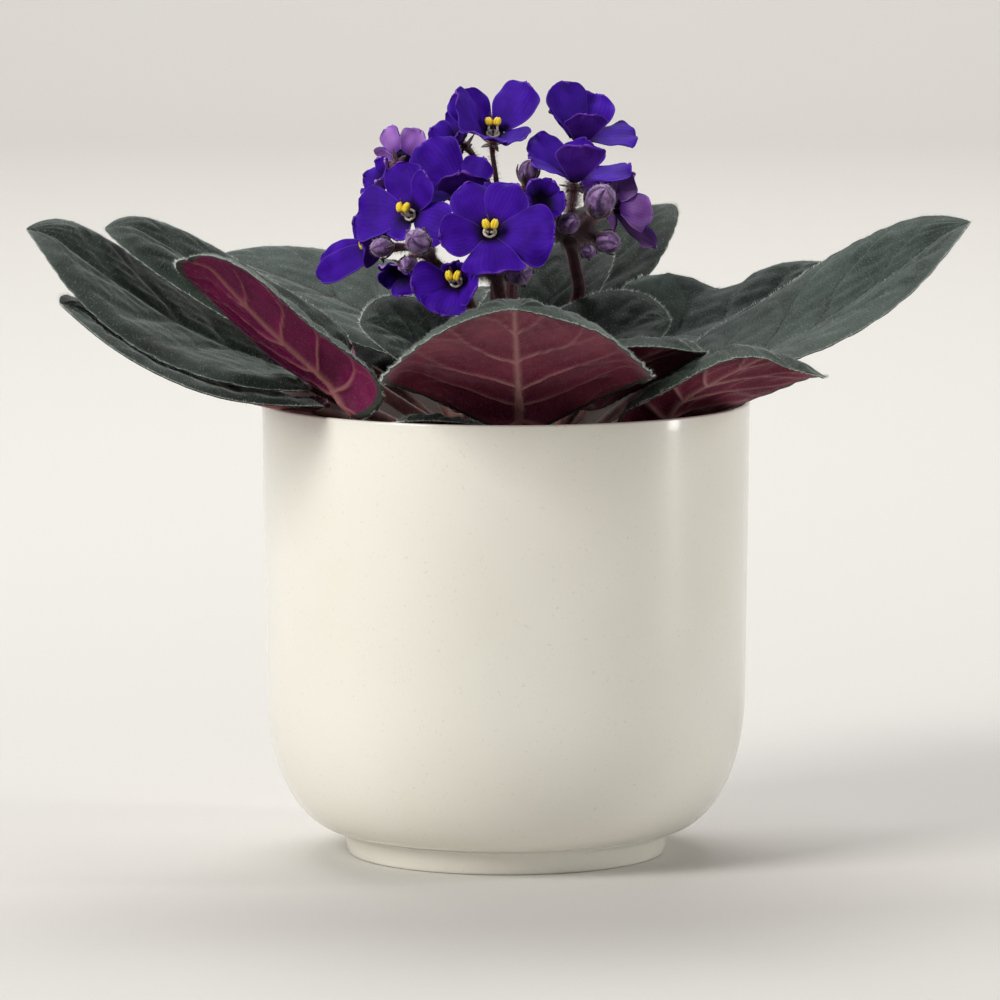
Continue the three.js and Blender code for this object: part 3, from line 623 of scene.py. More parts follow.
def velvet(name, sockets, plain, bright, vein_colour, vein_share, weave, margin):
    """A leaf's skin: mottled, its veins in another colour, and another green at the rolled margin. On the
    tops the near-black veins are painted shade in their creases and the paler margin is a painted highlight;
    on the undersides the margin's green is the top's skin rolled round. The margin is its colour, how near it
    starts and ends, and its strength."""
    made, tree, shader = new_finish(name, sockets)
    plane = on_map(tree, "leaf_plane")
    veins, edge = two_of_map(tree, "leaf_marks")[:2]
    patch, nap = noise(tree, 5.0, 4.0, plane), noise(tree, 160.0, 3.0, plane)
    cells = add(tree, "ShaderNodeTexVoronoi", {"Vector": plane, "Scale": weave}, feature="SMOOTH_F1")
    cells.inputs["Smoothness"].default_value = 0.6
    mottled = blend_colours(tree, ramp(tree, patch, 0.32, 0.7), plain, bright)
    frosted = tuple(min(1, 2.1 * c) for c in bright)
    napped = blend_colours(tree, ramp(tree, nap, 0.5, 0.72, 0, 0.5), mottled, frosted)
    # on the tops the vein colour is near black: painted shade in the vein creases
    veined = blend_colours(tree, ramp(tree, veins, 0.12, 0.85, 0, vein_share), napped, vein_colour)
    # on the tops the margin colour is lighter: a painted highlight along the hairy margin
    margined = blend_colours(tree, ramp(tree, edge, margin[1], margin[2], margin[3], 0), veined, margin[0])
    tree.links.new(margined, shader.inputs["Base Color"])
    far = reckon(tree, "MULTIPLY", cells.outputs["Distance"], -0.9)
    roughen(tree, shader, reckon(tree, "ADD", far, reckon(tree, "MULTIPLY", nap, 0.55)), 0.55, 0.6)
    return made


GREEN_EDGE = ((0.025, 0.038, 0.027, 1), 0.06, 0.1, 0.95)
# Top velvets: the near-black vein colour is painted shade in the creases, and the lighter margin colour is a
# painted highlight.
leaf_top = velvet("green_velvet", furred(0.6, 0.42, 0.24, (0.78, 0.9, 0.84), 0.2),
                  (0.005, 0.009, 0.006, 1), (0.021, 0.033, 0.024, 1), (0.001, 0.002, 0.0015, 1), 1.0, 22.0,
                  ((0.034, 0.052, 0.038, 1), 0.02, 0.2, 0.8))
# A lighter copy of the top velvet, painted light for three leaves that catch more light than the darker
# green_velvet leaves.
lit_leaf_top = velvet("lit_green_velvet", furred(0.6, 0.5, 0.26, (0.8, 0.9, 0.86), 0.2),
                   (0.024, 0.036, 0.03, 1), (0.058, 0.078, 0.067, 1), (0.004, 0.006, 0.005, 1), 1.0, 22.0,
                   ((0.06, 0.08, 0.068, 1), 0.02, 0.2, 0.8))
leaf_under = velvet("wine_underside", furred(0.55, 0.12, 0.25, (1, 0.8, 0.85), 0.25),
                    (0.085, 0.0015, 0.034, 1), (0.17, 0.005, 0.062, 1), (0.36, 0.14, 0.13, 1), 0.85, 26.0,
                    GREEN_EDGE)
dusty_under = velvet("dusty_underside", furred(0.6, 0.3, 0.3, (1, 0.8, 0.85), 0.25),
                     (0.1, 0.009, 0.028, 1), (0.19, 0.03, 0.058, 1), (0.4, 0.2, 0.19, 1), 0.85, 26.0,
                     GREEN_EDGE)
# the three leaves that get the lighter top, painted light
LIT_LEAVES = ("leaf_right_long", "leaf_right_short", "leaf_left_back")
DUSTY = ("leaf_front", "leaf_front_middle", "leaf_front_right")
stalk_finish = two_tone("leaf_stalk", furred(0.6, 0.6, 0.4, (1, 0.85, 0.8)), 170.0, 3.0,
                        (0.075, 0.016, 0.018, 1), (0.2, 0.075, 0.055, 1), (0.35, 0.65), (0.3, 0.4))


def hair_finish(name, dark, light, scale=300.0, roughness=0.45):
    return two_tone(name, {"Roughness": roughness, "Sheen Weight": 0.3}, scale, 2.0, dark, light)


white_hair = hair_finish("white_hair", (0.42, 0.46, 0.42, 1), (0.78, 0.8, 0.76, 1), 60.0)
grey_hair = hair_finish("grey_hair", (0.1, 0.13, 0.11, 1), (0.34, 0.4, 0.36, 1), 60.0)
pink_hair = hair_finish("pink_hair", (0.22, 0.09, 0.1, 1), (0.5, 0.32, 0.32, 1), 60.0)

for number, (node, leaf) in enumerate(LEAVES.items()):
    random = np.random.default_rng(100 + number)
    blade = Blade(leaf)
    rows, columns = (97, 69) if leaf.get("fine") else (61, 45)
    index, faces = grid_skin(rows, columns)
    s = np.linspace(0, 1, rows)
    t = np.sin(np.linspace(-1, 1, columns) * np.pi / 2 * 0.86) / math.sin(np.pi / 2 * 0.86)
    t = np.sign(t) * np.abs(t) ** 1.12
    S, T = np.repeat(s[1:-1], columns), np.tile(t, rows - 2)
    S, T = np.concatenate([[0], S, [1]]), np.concatenate([[0], T, [0]])
    x, y = blade.flat(S, T)
    a = np.abs(T)
    # the margin is cut into shallow round teeth and waves a little
    teeth = 1 + 0.01 * np.sin(2 * np.pi * S * 15 + number) * a**8
    skin, to_margin, rolled = blade.bend(S, T, x * teeth, y)
    normals = skin_normals(skin, faces)
    veins, quilt = blade.relief(S, T, x, y)
    wave = 0.7 * soft_noise(np.stack([x, y, 0 * x], 1), 26, number) * a**2
    near = np.clip(to_margin / 3, 0, 1)
    top = skin + normals * (wave + near * (QUILTING * quilt - CREASE * veins - 0.3))[:, None]
    thickness = 0.35 + 0.75 * np.clip(to_margin / 6, 0, 1)
    under = top - normals * (thickness + near * 0.9 * veins * (1.2 - 0.7 * a))[:, None]
    both, body_faces, body_finish, rim = closed_skin(top, under, index, faces)
    # the rolled band is narrow at the base and widens along the blade
    band = 2.5 * rolled * np.clip(S * 3 - 0.4, 0.12, 1)
    places = {"leaf_plane": np.stack([x, y], 1) / 100, "leaf_marks": np.stack([veins, to_margin / band], 1)}
    maps = {key: np.tile(value, (2, 1)) for key, value in places.items()}
    # stalk: from the crown to the blade and on under it as the start of the midrib
    azimuth, height = math.radians(leaf["root"][0]), leaf["root"][1]
    outward = np.array([math.cos(azimuth), math.sin(azimuth), 0])
    start = outward * CROWN_RADIUS + (0, 0, height)
    knee = outward * (CROWN_RADIUS + 3.7) + (0, 0, height)
    corners = [start, knee]
    for place, below in MIDRIB:
        origin, _, normal = blade.frame(place * blade.length)
        corners.append(origin[0] - normal[0] * below)
    path = smooth_path(corners, 56)
    along_path = np.linalg.norm(path - corners[-1], axis=1) / np.linalg.norm(corners[2] - corners[-1])
    radii = LEAF_STALK_RADIUS * np.interp(along_path, (0, 0.6, 1.1, 1.6), (0.2, 0.5, 0.85, 1))
    stalk, stalk_faces, stalk_out = rod(path, radii, 16)
    green = int(np.sum(along_path > 1)) * 16
    stalk_finish_of = [2 if face[0] < green else 1 for face in stalk_faces]
    stalk_marks = {"leaf_plane": stalk[:, :2] / 100, "leaf_marks": np.full((len(stalk), 2), (1, 1))}
    # hairs: the margin's fringe, the top's nap, and longer ones on the veins and the stalk
    edge = both[rim]
    inner = [index[min(max(k, 1), rows - 2), columns // 2] for k in [*range(rows), *range(rows - 2, 0, -1)]]
    outward_edge = unit(edge - both[inner])
    fringe = FRINGE_HAIRS * len(rim)
    k = random.integers(0, len(rim), fringe)
    share = random.uniform(0, 1, (fringe, 1))
    roots = edge[k] * (1 - share) + np.roll(edge, -1, 0)[k] * share
    ways = outward_edge[k] + 0.35 * normals[rim[k]] + random.normal(0, 0.35, (fringe, 3))
    fringe_hair = hairs(roots, ways, random.uniform(0.5, 1.6, fringe), 0.055)
    size = leaf["width"] * blade.length / 5000
    nap = int(NAP_HAIRS * size)
    roots, ways = scatter(top, faces, normals, nap, random)
    top_hair = hairs(roots, ways + random.normal(0, 0.5, (nap, 3)), random.uniform(0.5, 1.3, nap), 0.036)
    below = int(UNDER_HAIRS * size)
    roots, ways = scatter(under, faces, normals, below, random)
    ways = random.normal(0, 0.5, (below, 3)) - ways
    under_hair = hairs(roots, ways, random.uniform(0.4, 1.0, below), 0.035)
    k = random.integers(0, len(stalk_out), STALK_HAIRS)
    ways = stalk_out[k] + random.normal(0, 0.35, (STALK_HAIRS, 3))
    stalk_hair = hairs(stalk[k], ways, random.uniform(0.6, 1.6, STALK_HAIRS), 0.05)
    make_piece(node.replace("leaf_", "") + "_leaf",
               [(both, body_faces, body_finish, maps), (stalk, stalk_faces, stalk_finish_of, stalk_marks),
                (*fringe_hair, 3), (*top_hair, 5), (*under_hair, 4), (*stalk_hair, 4)],
               [lit_leaf_top if node in LIT_LEAVES else leaf_top, dusty_under if node in DUSTY else leaf_under,
                stalk_finish, white_hair, pink_hair, grey_hair], node)

# ---------------------------------------------------------------- flowers
# Five soft petals joined at the base into a short tube: two smaller ones above, three larger
# ones beside and below. Deep blue violet inside, lilac behind, and nearly black in the throat; the black
# throat is painted shade, and most flowers get a darker violet copy of the back as painted shade.
# A lobe is its angle round the flower, its reach and its lift, and some give their own bow and width.
PETAL_START, TUBE_DEPTH = 2.3, 2.6
PETAL_WIDTHS = (0.84, 0.84, 0.98, 1.25, 1.02)
PETAL_LAYERS = (-0.5, -0.8, -0.1, 0.2, -0.3)
# facing is the way a flower looks, turned from straight ahead and raised
FLOWERS = {
    "front": dict(
        at=(-4.9, -44, 196), facing=(2, 24), lobes=[(62, 17.5, 4), (118, 17.5, 4),
        (194, 16.5, 16, 0.4, 0.9), (274, 16.3, 21, 0.4, 1.75), (352, 20.5, 15, 0.4, 1.05)]),
    "left": dict(
        at=(-29.6, -30, 200), facing=(-40, 22),
        lobes=[(58, 15, 30), (115, 17, 24), (186, 20, 10), (250, 9.4, 4), (347, 16, -5)]),
    "lower_left": dict(
        at=(-41, -13, 188), facing=(-38, 8), lobes=[(60, 11, 10), (130, 13, 0), (193, 21, 0, 0.3, 0.46),
        (206, 23, 4, 0.3, 0.4), (10, 14, 84, 0, 1.3)]),
    "low": dict(
        at=(-15.3, -45.3, 181), facing=(-14, 14),
        lobes=[(40, 8, 66), (110, 7.5, 66), (190, 14.5, 25), (255, 13.5, 30), (330, 12, 50)]),
    "top": dict(
        at=(-4, -8, 223.5), facing=(2, 55),
        lobes=[(48, 20, 40), (132, 18, 30), (178, 20, 60), (250, 15, 40), (325, 13, 25)]),
    "upper_left": dict(
        at=(-13.4, -20, 207), facing=(-8, 45),
        lobes=[(60, 13, 20), (132, 21, 20), (186, 17, 8), (282, 15, 84, 0), (335, 12, 20)]),
    "upper_right": dict(
        at=(21, -15, 211), facing=(20, 74),
        lobes=[(58, 17, 34), (124, 19, 38), (186, 17, 25), (262, 15, 78, 0.2), (345, 18, 20)]),
    "top_right": dict(
        at=(23, 7, 221.5), facing=(25, 70),
        lobes=[(50, 18.5, 42), (108, 20, 62), (150, 14, 46), (255, 13, 76, 0.2), (340, 18, 10)]),
    "right": dict(
        at=(35, -8, 201), facing=(118, 5),
        lobes=[(60, 10.5, 25), (125, 12.5, 25), (195, 14, 30), (262, 19, 40, 0.4, 0.75), (335, 14, 20)]),
    "back_left": dict(
        at=(-31, 4, 214.5), facing=(150, 20),
        lobes=[(55, 11.5, 24), (126, 11.5, 20), (198, 12.5, 20), (270, 12.5, 20), (342, 12.5, 24)]),
    "back": dict(
        at=(3, 38, 193), facing=(180, 25),
        lobes=[(60, 12, 10), (120, 13, 10), (190, 15, 12), (270, 15, 20), (350, 15, 12)]),
}


def half_open(reach, lift):
    return [(angle, reach, lift) for angle in (60, 120, 190, 270, 350)]


HALF_OPEN = {
    "top_left": dict(at=(-15.5, 2.5, 221), facing=(-55, 42), lobes=half_open(10.5, 50)),
    "side_left": dict(at=(-38, -9, 208.5), facing=(-70, 25), lobes=half_open(9, 50)),
    "side_right": dict(at=(11, -28.5, 203.5), facing=(22, 22), lobes=half_open(8.5, 50)),
    "hanging": dict(at=(-32.5, -31, 181), facing=(-35, -40), lobes=half_open(8, 50)),
    "back_right": dict(at=(30, 27, 200), facing=(145, 25), lobes=half_open(12, 40)),
}


def stand(points, head):
    """Points made about a flower's own axis, carried to where it faces. +Z is out of the flower."""
    turned, rise = np.radians(head["facing"])
    out = np.array([math.sin(turned) * math.cos(rise), -math.cos(turned) * math.cos(rise), math.sin(rise)])
    up = unit(np.array([0, 0, 1.0]) - out * out[2])
    return np.asarray(points) @ np.array([np.cross(up, out), up, out]) + head["at"]


def petal(lobe, number, random, rows=23, columns=15):
    """One petal about its flower's axis: its points, faces, finishes and maps."""
    angle, reach, lift = math.radians(lobe[0]), lobe[1], math.radians(lobe[2])
    bow = lobe[3] if len(lobe) > 3 else random.uniform(0.3, 0.7)
    index, faces = grid_skin(rows, columns)
    u = np.sin(np.linspace(0, np.pi / 2, rows)) ** 1.1
    reached = PETAL_START + (reach - PETAL_START) * u
    slope = lift + bow * (0.5 - u)
    slope = slope + (1.25 - slope) * np.exp(-((reached - PETAL_START) / 1.3) ** 1.5)
    step = np.diff(reached, prepend=PETAL_START)
    out = PETAL_START + np.cumsum(step * np.cos(slope))
    z = np.cumsum(step * np.sin(slope)) - TUBE_DEPTH + 0.9
    across_full = reach * (lobe[4] if len(lobe) > 4 else PETAL_WIDTHS[number]) / 2
    beyond = np.clip((u - 0.55) / 0.45, 0, 1)
    outline = across_full * (1 - 0.25 * (np.clip(0.55 - u, 0, 1) / 0.55) ** 2) * np.sqrt(1 - beyond**2.7)
    wedge = reached * math.tan(math.radians(36)) * 1.08
    half = (wedge**-5.0 + np.maximum(outline, 1e-3) ** -5.0) ** -0.2
    half[-1] = 0
    rows_of = np.concatenate([[0], np.repeat(np.arange(1, rows - 1), columns), [rows - 1]])
    v = np.sin(np.linspace(-1, 1, columns) * 1.45) / math.sin(1.45)
    v = np.concatenate([[0], np.tile(v, rows - 2), [0]])
    u, reached, slope, out, z, half = [value[rows_of] for value in (u, reached, slope, out, z, half)]
    x = half * v * (1 + 0.05 * np.sin(9 * u + random.uniform(0, 6)) * u)
    out = out + 0.35 * u**8 * np.sin(9 * v + number)
    rim = np.clip(1 - np.minimum(half * (1 - np.abs(v)), reach - reached) / 1.6, 0, 1)
    phase = random.uniform(0, 2 * np.pi, 3)
    edge = np.maximum(np.abs(v) ** 2.5 * np.clip(u * 2 - 0.4, 0, 1), u**5)
    height = 0.6 * edge * (np.sin(0.95 * x + phase[0]) + 0.7 * np.sin(0.8 * reached + 2.2 * v + phase[1]))
    height += -0.4 * np.exp(-((x / 1.1) ** 2)) * np.sin(np.pi * u) - random.uniform(-0.02, 0.05) * x**2 * u
    ripple = soft_noise(np.stack([x, reached, 0 * x], 1), 4, number)
    height += random.uniform(-0.12, 0.12) * x * u + 0.12 * ripple
    height += PETAL_LAYERS[number] * np.clip((reached - 3) / 4, 0, 1)
    radial = np.array([math.cos(angle), math.sin(angle), 0])
    beside = np.array([-math.sin(angle), math.cos(angle), 0])
    above = np.array([0, 0, 1.0])
    normal = np.cos(slope)[:, None] * above - np.sin(slope)[:, None] * radial
    top = out[:, None] * radial + z[:, None] * above + x[:, None] * beside + height[:, None] * normal
    thickness = 0.5 - 0.2 * u
    # seen from the flower's front, across runs against the angle, so the faces turn over
    faces = [f[::-1] for f in faces]
    under = top - skin_normals(top, faces) * thickness[:, None]
    points, skin, finish, _ = closed_skin(top, under, index[:, ::-1], faces)
    maps = {"petal": np.stack([v, u], 1), "reach": np.stack([reached / 20, rim], 1)}
    maps = {key: np.tile(value, (2, 1)) for key, value in maps.items()}
    return points, skin, finish, maps


def petal_finish(name, sockets, deep, main, light, edge):
    """Petal tissue: dark at the throat as painted shade, finely veined along each petal, paler at its rim and
    flecked with painted glints.
    """
    made, tree, shader = new_finish(name, sockets)
    across = two_of_map(tree, "petal")[0]
    reached, rim = two_of_map(tree, "reach")[:2]
    cloud, cells = noise(tree, 160.0, 3.0), noise(tree, 3200.0, 1.0)
    ribs = reckon(tree, "SINE", reckon(tree, "ADD", reckon(tree, "MULTIPLY", across, 34.0), cloud))
    plain = blend_colours(tree, ramp(tree, cloud, 0.3, 0.7), main, light)
    ribbed = blend_colours(tree, ramp(tree, ribs, 0.2, 1.0, 0, 0.12), plain, deep)
    # painted shade: the petal darkens to its deep colour towards the throat
    throat = blend_colours(tree, ramp(tree, reached, 0.14, 0.36), deep, ribbed)
    rimmed = blend_colours(tree, ramp(tree, rim, 0.6, 1.0, 0, 0.5), throat, edge)
    # painted glints: specks of the pale rim colour stand in for light sparkling off the petal's cells
    glint = blend_colours(tree, ramp(tree, cells, 0.7, 0.8, 0, 0.5), rimmed, edge)
    tree.links.new(glint, shader.inputs["Base Color"])
    roughen(tree, shader, reckon(tree, "ADD", reckon(tree, "MULTIPLY", ribs, 0.3), cells), 0.35, 0.2)
    return made


petal_sockets = {"Roughness": 0.65, "Specular IOR Level": 0.12}
petal_face = petal_finish("violet_petal", petal_sockets, (0.008, 0.0006, 0.03, 1), (0.036, 0.0016, 0.25, 1),
                          (0.058, 0.0045, 0.39, 1), (0.15, 0.05, 0.55, 1))
# A darker violet copy of the lilac back: painted shade for petals whose backs lie in shade.
petal_back = petal_finish("shaded_violet_petal_back", petal_sockets, (0.02, 0.002, 0.09, 1), (0.06, 0.008, 0.25, 1),
                          (0.1, 0.018, 0.36, 1), (0.25, 0.09, 0.6, 1))
pale_back = petal_finish("lilac_petal_back", petal_sockets, (0.1, 0.025, 0.25, 1), (0.3, 0.11, 0.52, 1),
                         (0.42, 0.2, 0.64, 1), (0.55, 0.34, 0.76, 1))
PALE_BEHIND = ("right", "back_left", "side_left", "hanging")

TUBE_PROFILE = [(0, 0), (1.6, 0), (2.6, 0.7), (3.3, 1.7), (3.1, 1.6), (2.2, 0.6), (0, 0.4)]

for order, (name, head) in enumerate({**FLOWERS, **HALF_OPEN}.items()):
    random = np.random.default_rng(300 + order)
    tube, tube_faces = turn([(radius, z - TUBE_DEPTH) for radius, z in TUBE_PROFILE], 30)
    # the tube is all in the deep colour: painted shade in the throat
    dark = {"reach": np.full((len(tube), 2), (0.1, 0)), "petal": np.zeros((len(tube), 2))}
    parts = [(stand(tube, head), tube_faces, 0, dark)]
    for number, lobe in enumerate(head["lobes"]):
        points, faces, finish, maps = petal(lobe, number, random)
        parts.append((stand(points, head), faces, finish, maps))
    # the lilac is the backs' own colour; the rest get the darker back as painted shade
    back = pale_back if name in PALE_BEHIND else petal_back
    make_piece("petals_" + name, parts, [petal_face, back], "corolla_" + name)

# ---------------------------------------------------------------- stamens
# Two fat yellow anthers stand side by side on short bowed filaments and touch at their tips.
# A pale ring of filament feet lines the throat, and a thin dark style leans out beside them.
ANTHER_HEIGHT = 3

mealy = {"Roughness": 0.6, "Subsurface Weight": 0.1, "Subsurface Scale": 0.0006,
         "Subsurface Radius": (1, 0.6, 0.1)}
pollen = two_tone("pollen_yellow", mealy, 2400.0, 2.0, (0.82, 0.5, 0.004, 1), (0.95, 0.76, 0.03, 1),
                  (0.35, 0.65), (0.4, 0.2))
cream = two_tone("cream_filament", {"Roughness": 0.5}, 1500.0, 2.0, (0.5, 0.42, 0.34, 1), (0.8, 0.74, 0.6, 1))
style_finish = two_tone("dark_style", {"Roughness": 0.4}, 900.0, 2.0,
                        (0.03, 0.003, 0.04, 1), (0.12, 0.02, 0.12, 1))


def globe(rows, sides):
    """Points on a unit ball, top to bottom along +Z, and its faces."""
    polar = np.linspace(0, np.pi, rows)
    return turn([(math.sin(p), -math.cos(p)) for p in polar], sides)


for number, (name, head) in enumerate(FLOWERS.items()):
    random = np.random.default_rng(500 + number)
    parts = []
    for side in (-1, 1):
        ball, faces = globe(15, 20)
        lean = side * -0.3
        groove = 1 - 0.2 * np.exp(-((ball[:, 0] / 0.22) ** 2)) * (ball[:, 2] > -0.5)
        ball = ball * groove[:, None] * (1.2, 1.8, 1.15)
        ball[:, 1] -= 0.12 * ball[:, 0] ** 2
        turned = np.stack([ball[:, 0] * math.cos(lean) - ball[:, 1] * math.sin(lean),
                           ball[:, 0] * math.sin(lean) + ball[:, 1] * math.cos(lean), ball[:, 2]], 1)
        parts.append((stand(turned + (side * 1.3, 0.8, ANTHER_HEIGHT), head), faces, 0))
        bowed = smooth_path([(side * 0.5, -0.3, -1.4), (side * 1.3, -0.9, 0.6), (side * 1.2, 0, 2.4)], 10)
        filament, faces, _ = rod(bowed, np.linspace(0.5, 0.32, 10), 8)
        parts.append((stand(filament, head), faces, 1))
    ring = []
    for a in np.linspace(0, 2 * np.pi, 36, endpoint=False):
        ring.append((1.75 * math.cos(a), -0.3 + 1.55 * math.sin(a), -1.05 + 0.15 * math.sin(5 * a)))
    foot, faces, _ = rod(np.array(ring + ring[:1]), 0.42, 8)
    parts.append((stand(foot, head), faces, 1))
    reachout = smooth_path([(0.1, 0, -1.2), (-0.2, 1.4, 2.2), (-0.9, 3.2, 4.2)], 12)
    style, faces, _ = rod(reachout, np.linspace(0.34, 0.22, 12), 8)
    parts.append((stand(style, head), faces, 2))
    make_piece("anthers_" + name, parts, [pollen, cream, style_finish], "stamens_" + name)

# ---------------------------------------------------------------- buds
# Round buds of folded petals, lilac outside and furred, with the petals' edges showing as seams
# that wind to the tip. Along the seams the colour is painted shade, darkened nearly to black in their
# grooves.
BUD_STRETCH = 1.25
# hairs on a bud of one millimetre's radius
BUD_FUR = 38
BUDS = {
    "bud_1": dict(at=(28.6, -27, 203.5), radius=4.7, facing=(20, 40)),
    "bud_2": dict(at=(19, -25, 196.5), radius=3.3, facing=(30, 20)),
    "bud_3": dict(at=(31, -22, 190.5), radius=3.5, facing=(40, -10)),
    "bud_4": dict(at=(-26.6, -47.6, 192.8), radius=3.8, facing=(-20, 20)),
    "bud_5": dict(at=(-37.5, -38.5, 190.2), radius=3, facing=(-50, 0)),
    "bud_6": dict(at=(3.8, -40, 183), radius=4.2, facing=(10, 0)),
    "bud_7": dict(at=(6.8, -12, 211), radius=3.2, facing=(20, 60)),
}
YOUNG_BUDS = {
    "young_left": dict(at=(-29.5, -41, 185.5), radius=2.4, facing=(-20, -20)),
    "young_right": dict(at=(25, -28, 188), radius=2.2, facing=(10, -10)),
}

bud_finish, tree, shader = new_finish("furred_bud", furred(0.6, 0.7, 0.4, (0.9, 0.8, 1)))
seam = two_of_map(tree, "petal")[0]
cloud = noise(tree, 500.0, 3.0)
lilac = blend_colours(tree, ramp(tree, cloud, 0.35, 0.65), (0.13, 0.05, 0.2, 1), (0.36, 0.2, 0.46, 1))
# painted shade: the seam grooves darkened nearly to black
dark = blend_colours(tree, ramp(tree, seam, 0.0, 0.7, 0.85, 0), lilac, (0.03, 0.008, 0.06, 1))
tree.links.new(dark, shader.inputs["Base Color"])
roughen(tree, shader, cloud, 0.3, 0.3)
lilac_hair = hair_finish("lilac_hair", (0.3, 0.16, 0.26, 1), (0.75, 0.62, 0.7, 1))


def folded_bud(radius):
    """A bud about its own axis: points, faces and how far each point is from a seam."""
    ball, faces = globe(31, 40)
    winding = np.arctan2(ball[:, 1], ball[:, 0]) * 5 / (2 * np.pi) + 0.9 * (ball[:, 2] + 1) / 2
    seam = np.abs(winding % 1 - 0.5) * 2
    near = 1 - seam
    deep = np.clip((ball[:, 2] + 0.6) / 0.8, 0, 1)
    grown = 1 + 0.05 * (winding % 1 - 0.5) * deep - 0.1 * np.exp(-((near / 0.16) ** 2)) * deep
    ball = ball * grown[:, None] * (1, 1, BUD_STRETCH)
    ball[:, 2] += 0.06 * np.maximum(0, ball[:, 2]) ** 3
    return ball * radius * 0.97, faces, near


for number, (name, head) in enumerate(BUDS.items()):
    random = np.random.default_rng(600 + number)
    points, faces, near = folded_bud(head["radius"])
    normals = skin_normals(points, faces)
    count = int(BUD_FUR * head["radius"] ** 2)
    roots, ways = scatter(points, faces, normals, count, random)
    ways = ways + random.normal(0, 0.3, (count, 3)) + (0, 0, 0.5)
    fur = hairs(roots, ways, random.uniform(0.5, 1.1, count), 0.035)
    maps = {"petal": np.stack([near, near], 1)}
    make_piece("flower_" + name, [(stand(points, head), faces, 0, maps), (stand(fur[0], head), fur[1], 1)],
               [bud_finish, lilac_hair], name)

# ---------------------------------------------------------------- flower stalks
# Dark red furred stalks rise from the crown between the leaves and fork into thin ones, one to
# each flower and bud. Five narrow sepals stand behind each flower and close round each bud.
STALK_RADIUS, BRANCH_RADIUS = 2.1, 0.9
SEPAL_ROWS, SEPAL_THICKNESS = 11, 0.3
# hairs on a main stalk, on a branch, and on a branch of the two shaggy stalks
MAIN_HAIRS, BRANCH_HAIRS, SHAGGY_HAIRS = 1800, 700, 2400
# each stalk's route from the crown, and what it carries
STALKS = {
    "stalk_right": ([(5, 3), (12, 9, 156), (22, 12, 170), (21, 2, 182), (19, -8, 190)],
                    ["right", "top_right", "upper_right", "bud_1", "bud_2", "bud_3", "young_right"]),
    "stalk_left": ([(-5, -3), (-8, -6, 160), (-14, -14, 176), (-22, -20, 184)],
                   ["left", "lower_left", "side_left", "hanging", "bud_4", "bud_5", "young_left"]),
    "stalk_front": ([(0, -6), (0, -10, 162), (-3, -22, 180)], ["front", "low", "side_right", "bud_6"]),
    "stalk_top": ([(-3, 4), (-3, 4, 170), (-2, -2, 196)], ["top", "upper_left", "top_left", "bud_7"]),
    "stalk_back": ([(2, 7.5), (1, 12, 160), (2, 16, 178)], ["back_left", "back", "back_right"]),
}

flower_stalk = two_tone("furred_red_stalk", furred(0.5, 0.6, 0.4, (1, 0.7, 0.8)), 240.0, 3.0,
                        (0.045, 0.004, 0.008, 1), (0.11, 0.02, 0.025, 1), (0.35, 0.65), (0.3, 0.3))
sepal_finish = two_tone("furred_sepal", furred(0.55, 0.6, 0.4, (0.9, 0.8, 0.85)), 500.0, 3.0,
                        (0.03, 0.008, 0.022, 1), (0.1, 0.05, 0.06, 1), (0.3, 0.7), (0.3, 0.3))
red_hair = hair_finish("red_hair", (0.07, 0.02, 0.03, 1), (0.34, 0.19, 0.22, 1), roughness=0.5)


def sepal(spine, width):
    """A narrow pointed sepal along a spine of points, cupped towards the spine's axis."""
    path = smooth_path(spine, SEPAL_ROWS)
    along = unit(np.gradient(path, axis=0))
    side = unit(np.cross(along, np.append(path[SEPAL_ROWS // 2][:2], 0) + (1e-3, 0, 0)))
    out = np.cross(side, along)
    half = width / 2 * np.sin(np.pi * (0.2 + 0.8 * np.linspace(0, 1, SEPAL_ROWS)) ** 0.8)
    columns = []
    for v in (-1, -0.5, 0, 0.5, 1):
        columns.append(path + side * (half * v)[:, None] - out * (0.25 * half * v * v)[:, None])
    front = np.concatenate(columns)
    points = np.concatenate([front, front + np.tile(out, (len(columns), 1)) * SEPAL_THICKNESS])
    index = np.arange(len(front)).reshape(len(columns), SEPAL_ROWS)
    back = len(front)
    faces = []
    for left, right in zip(index, index[1:]):
        for a, b, c, d in zip(left, right, right[1:], left[1:]):
            faces += [(a, b, c, d), (a + back, d + back, c + back, b + back)]
    border = [*index[0], *index[1:, -1], *index[-1, -2::-1], *index[-2:0:-1, 0]]
    for a, b in zip(border, border[1:] + border[:1]):
        faces.append((a, b, b + back, a + back))
    return points, faces


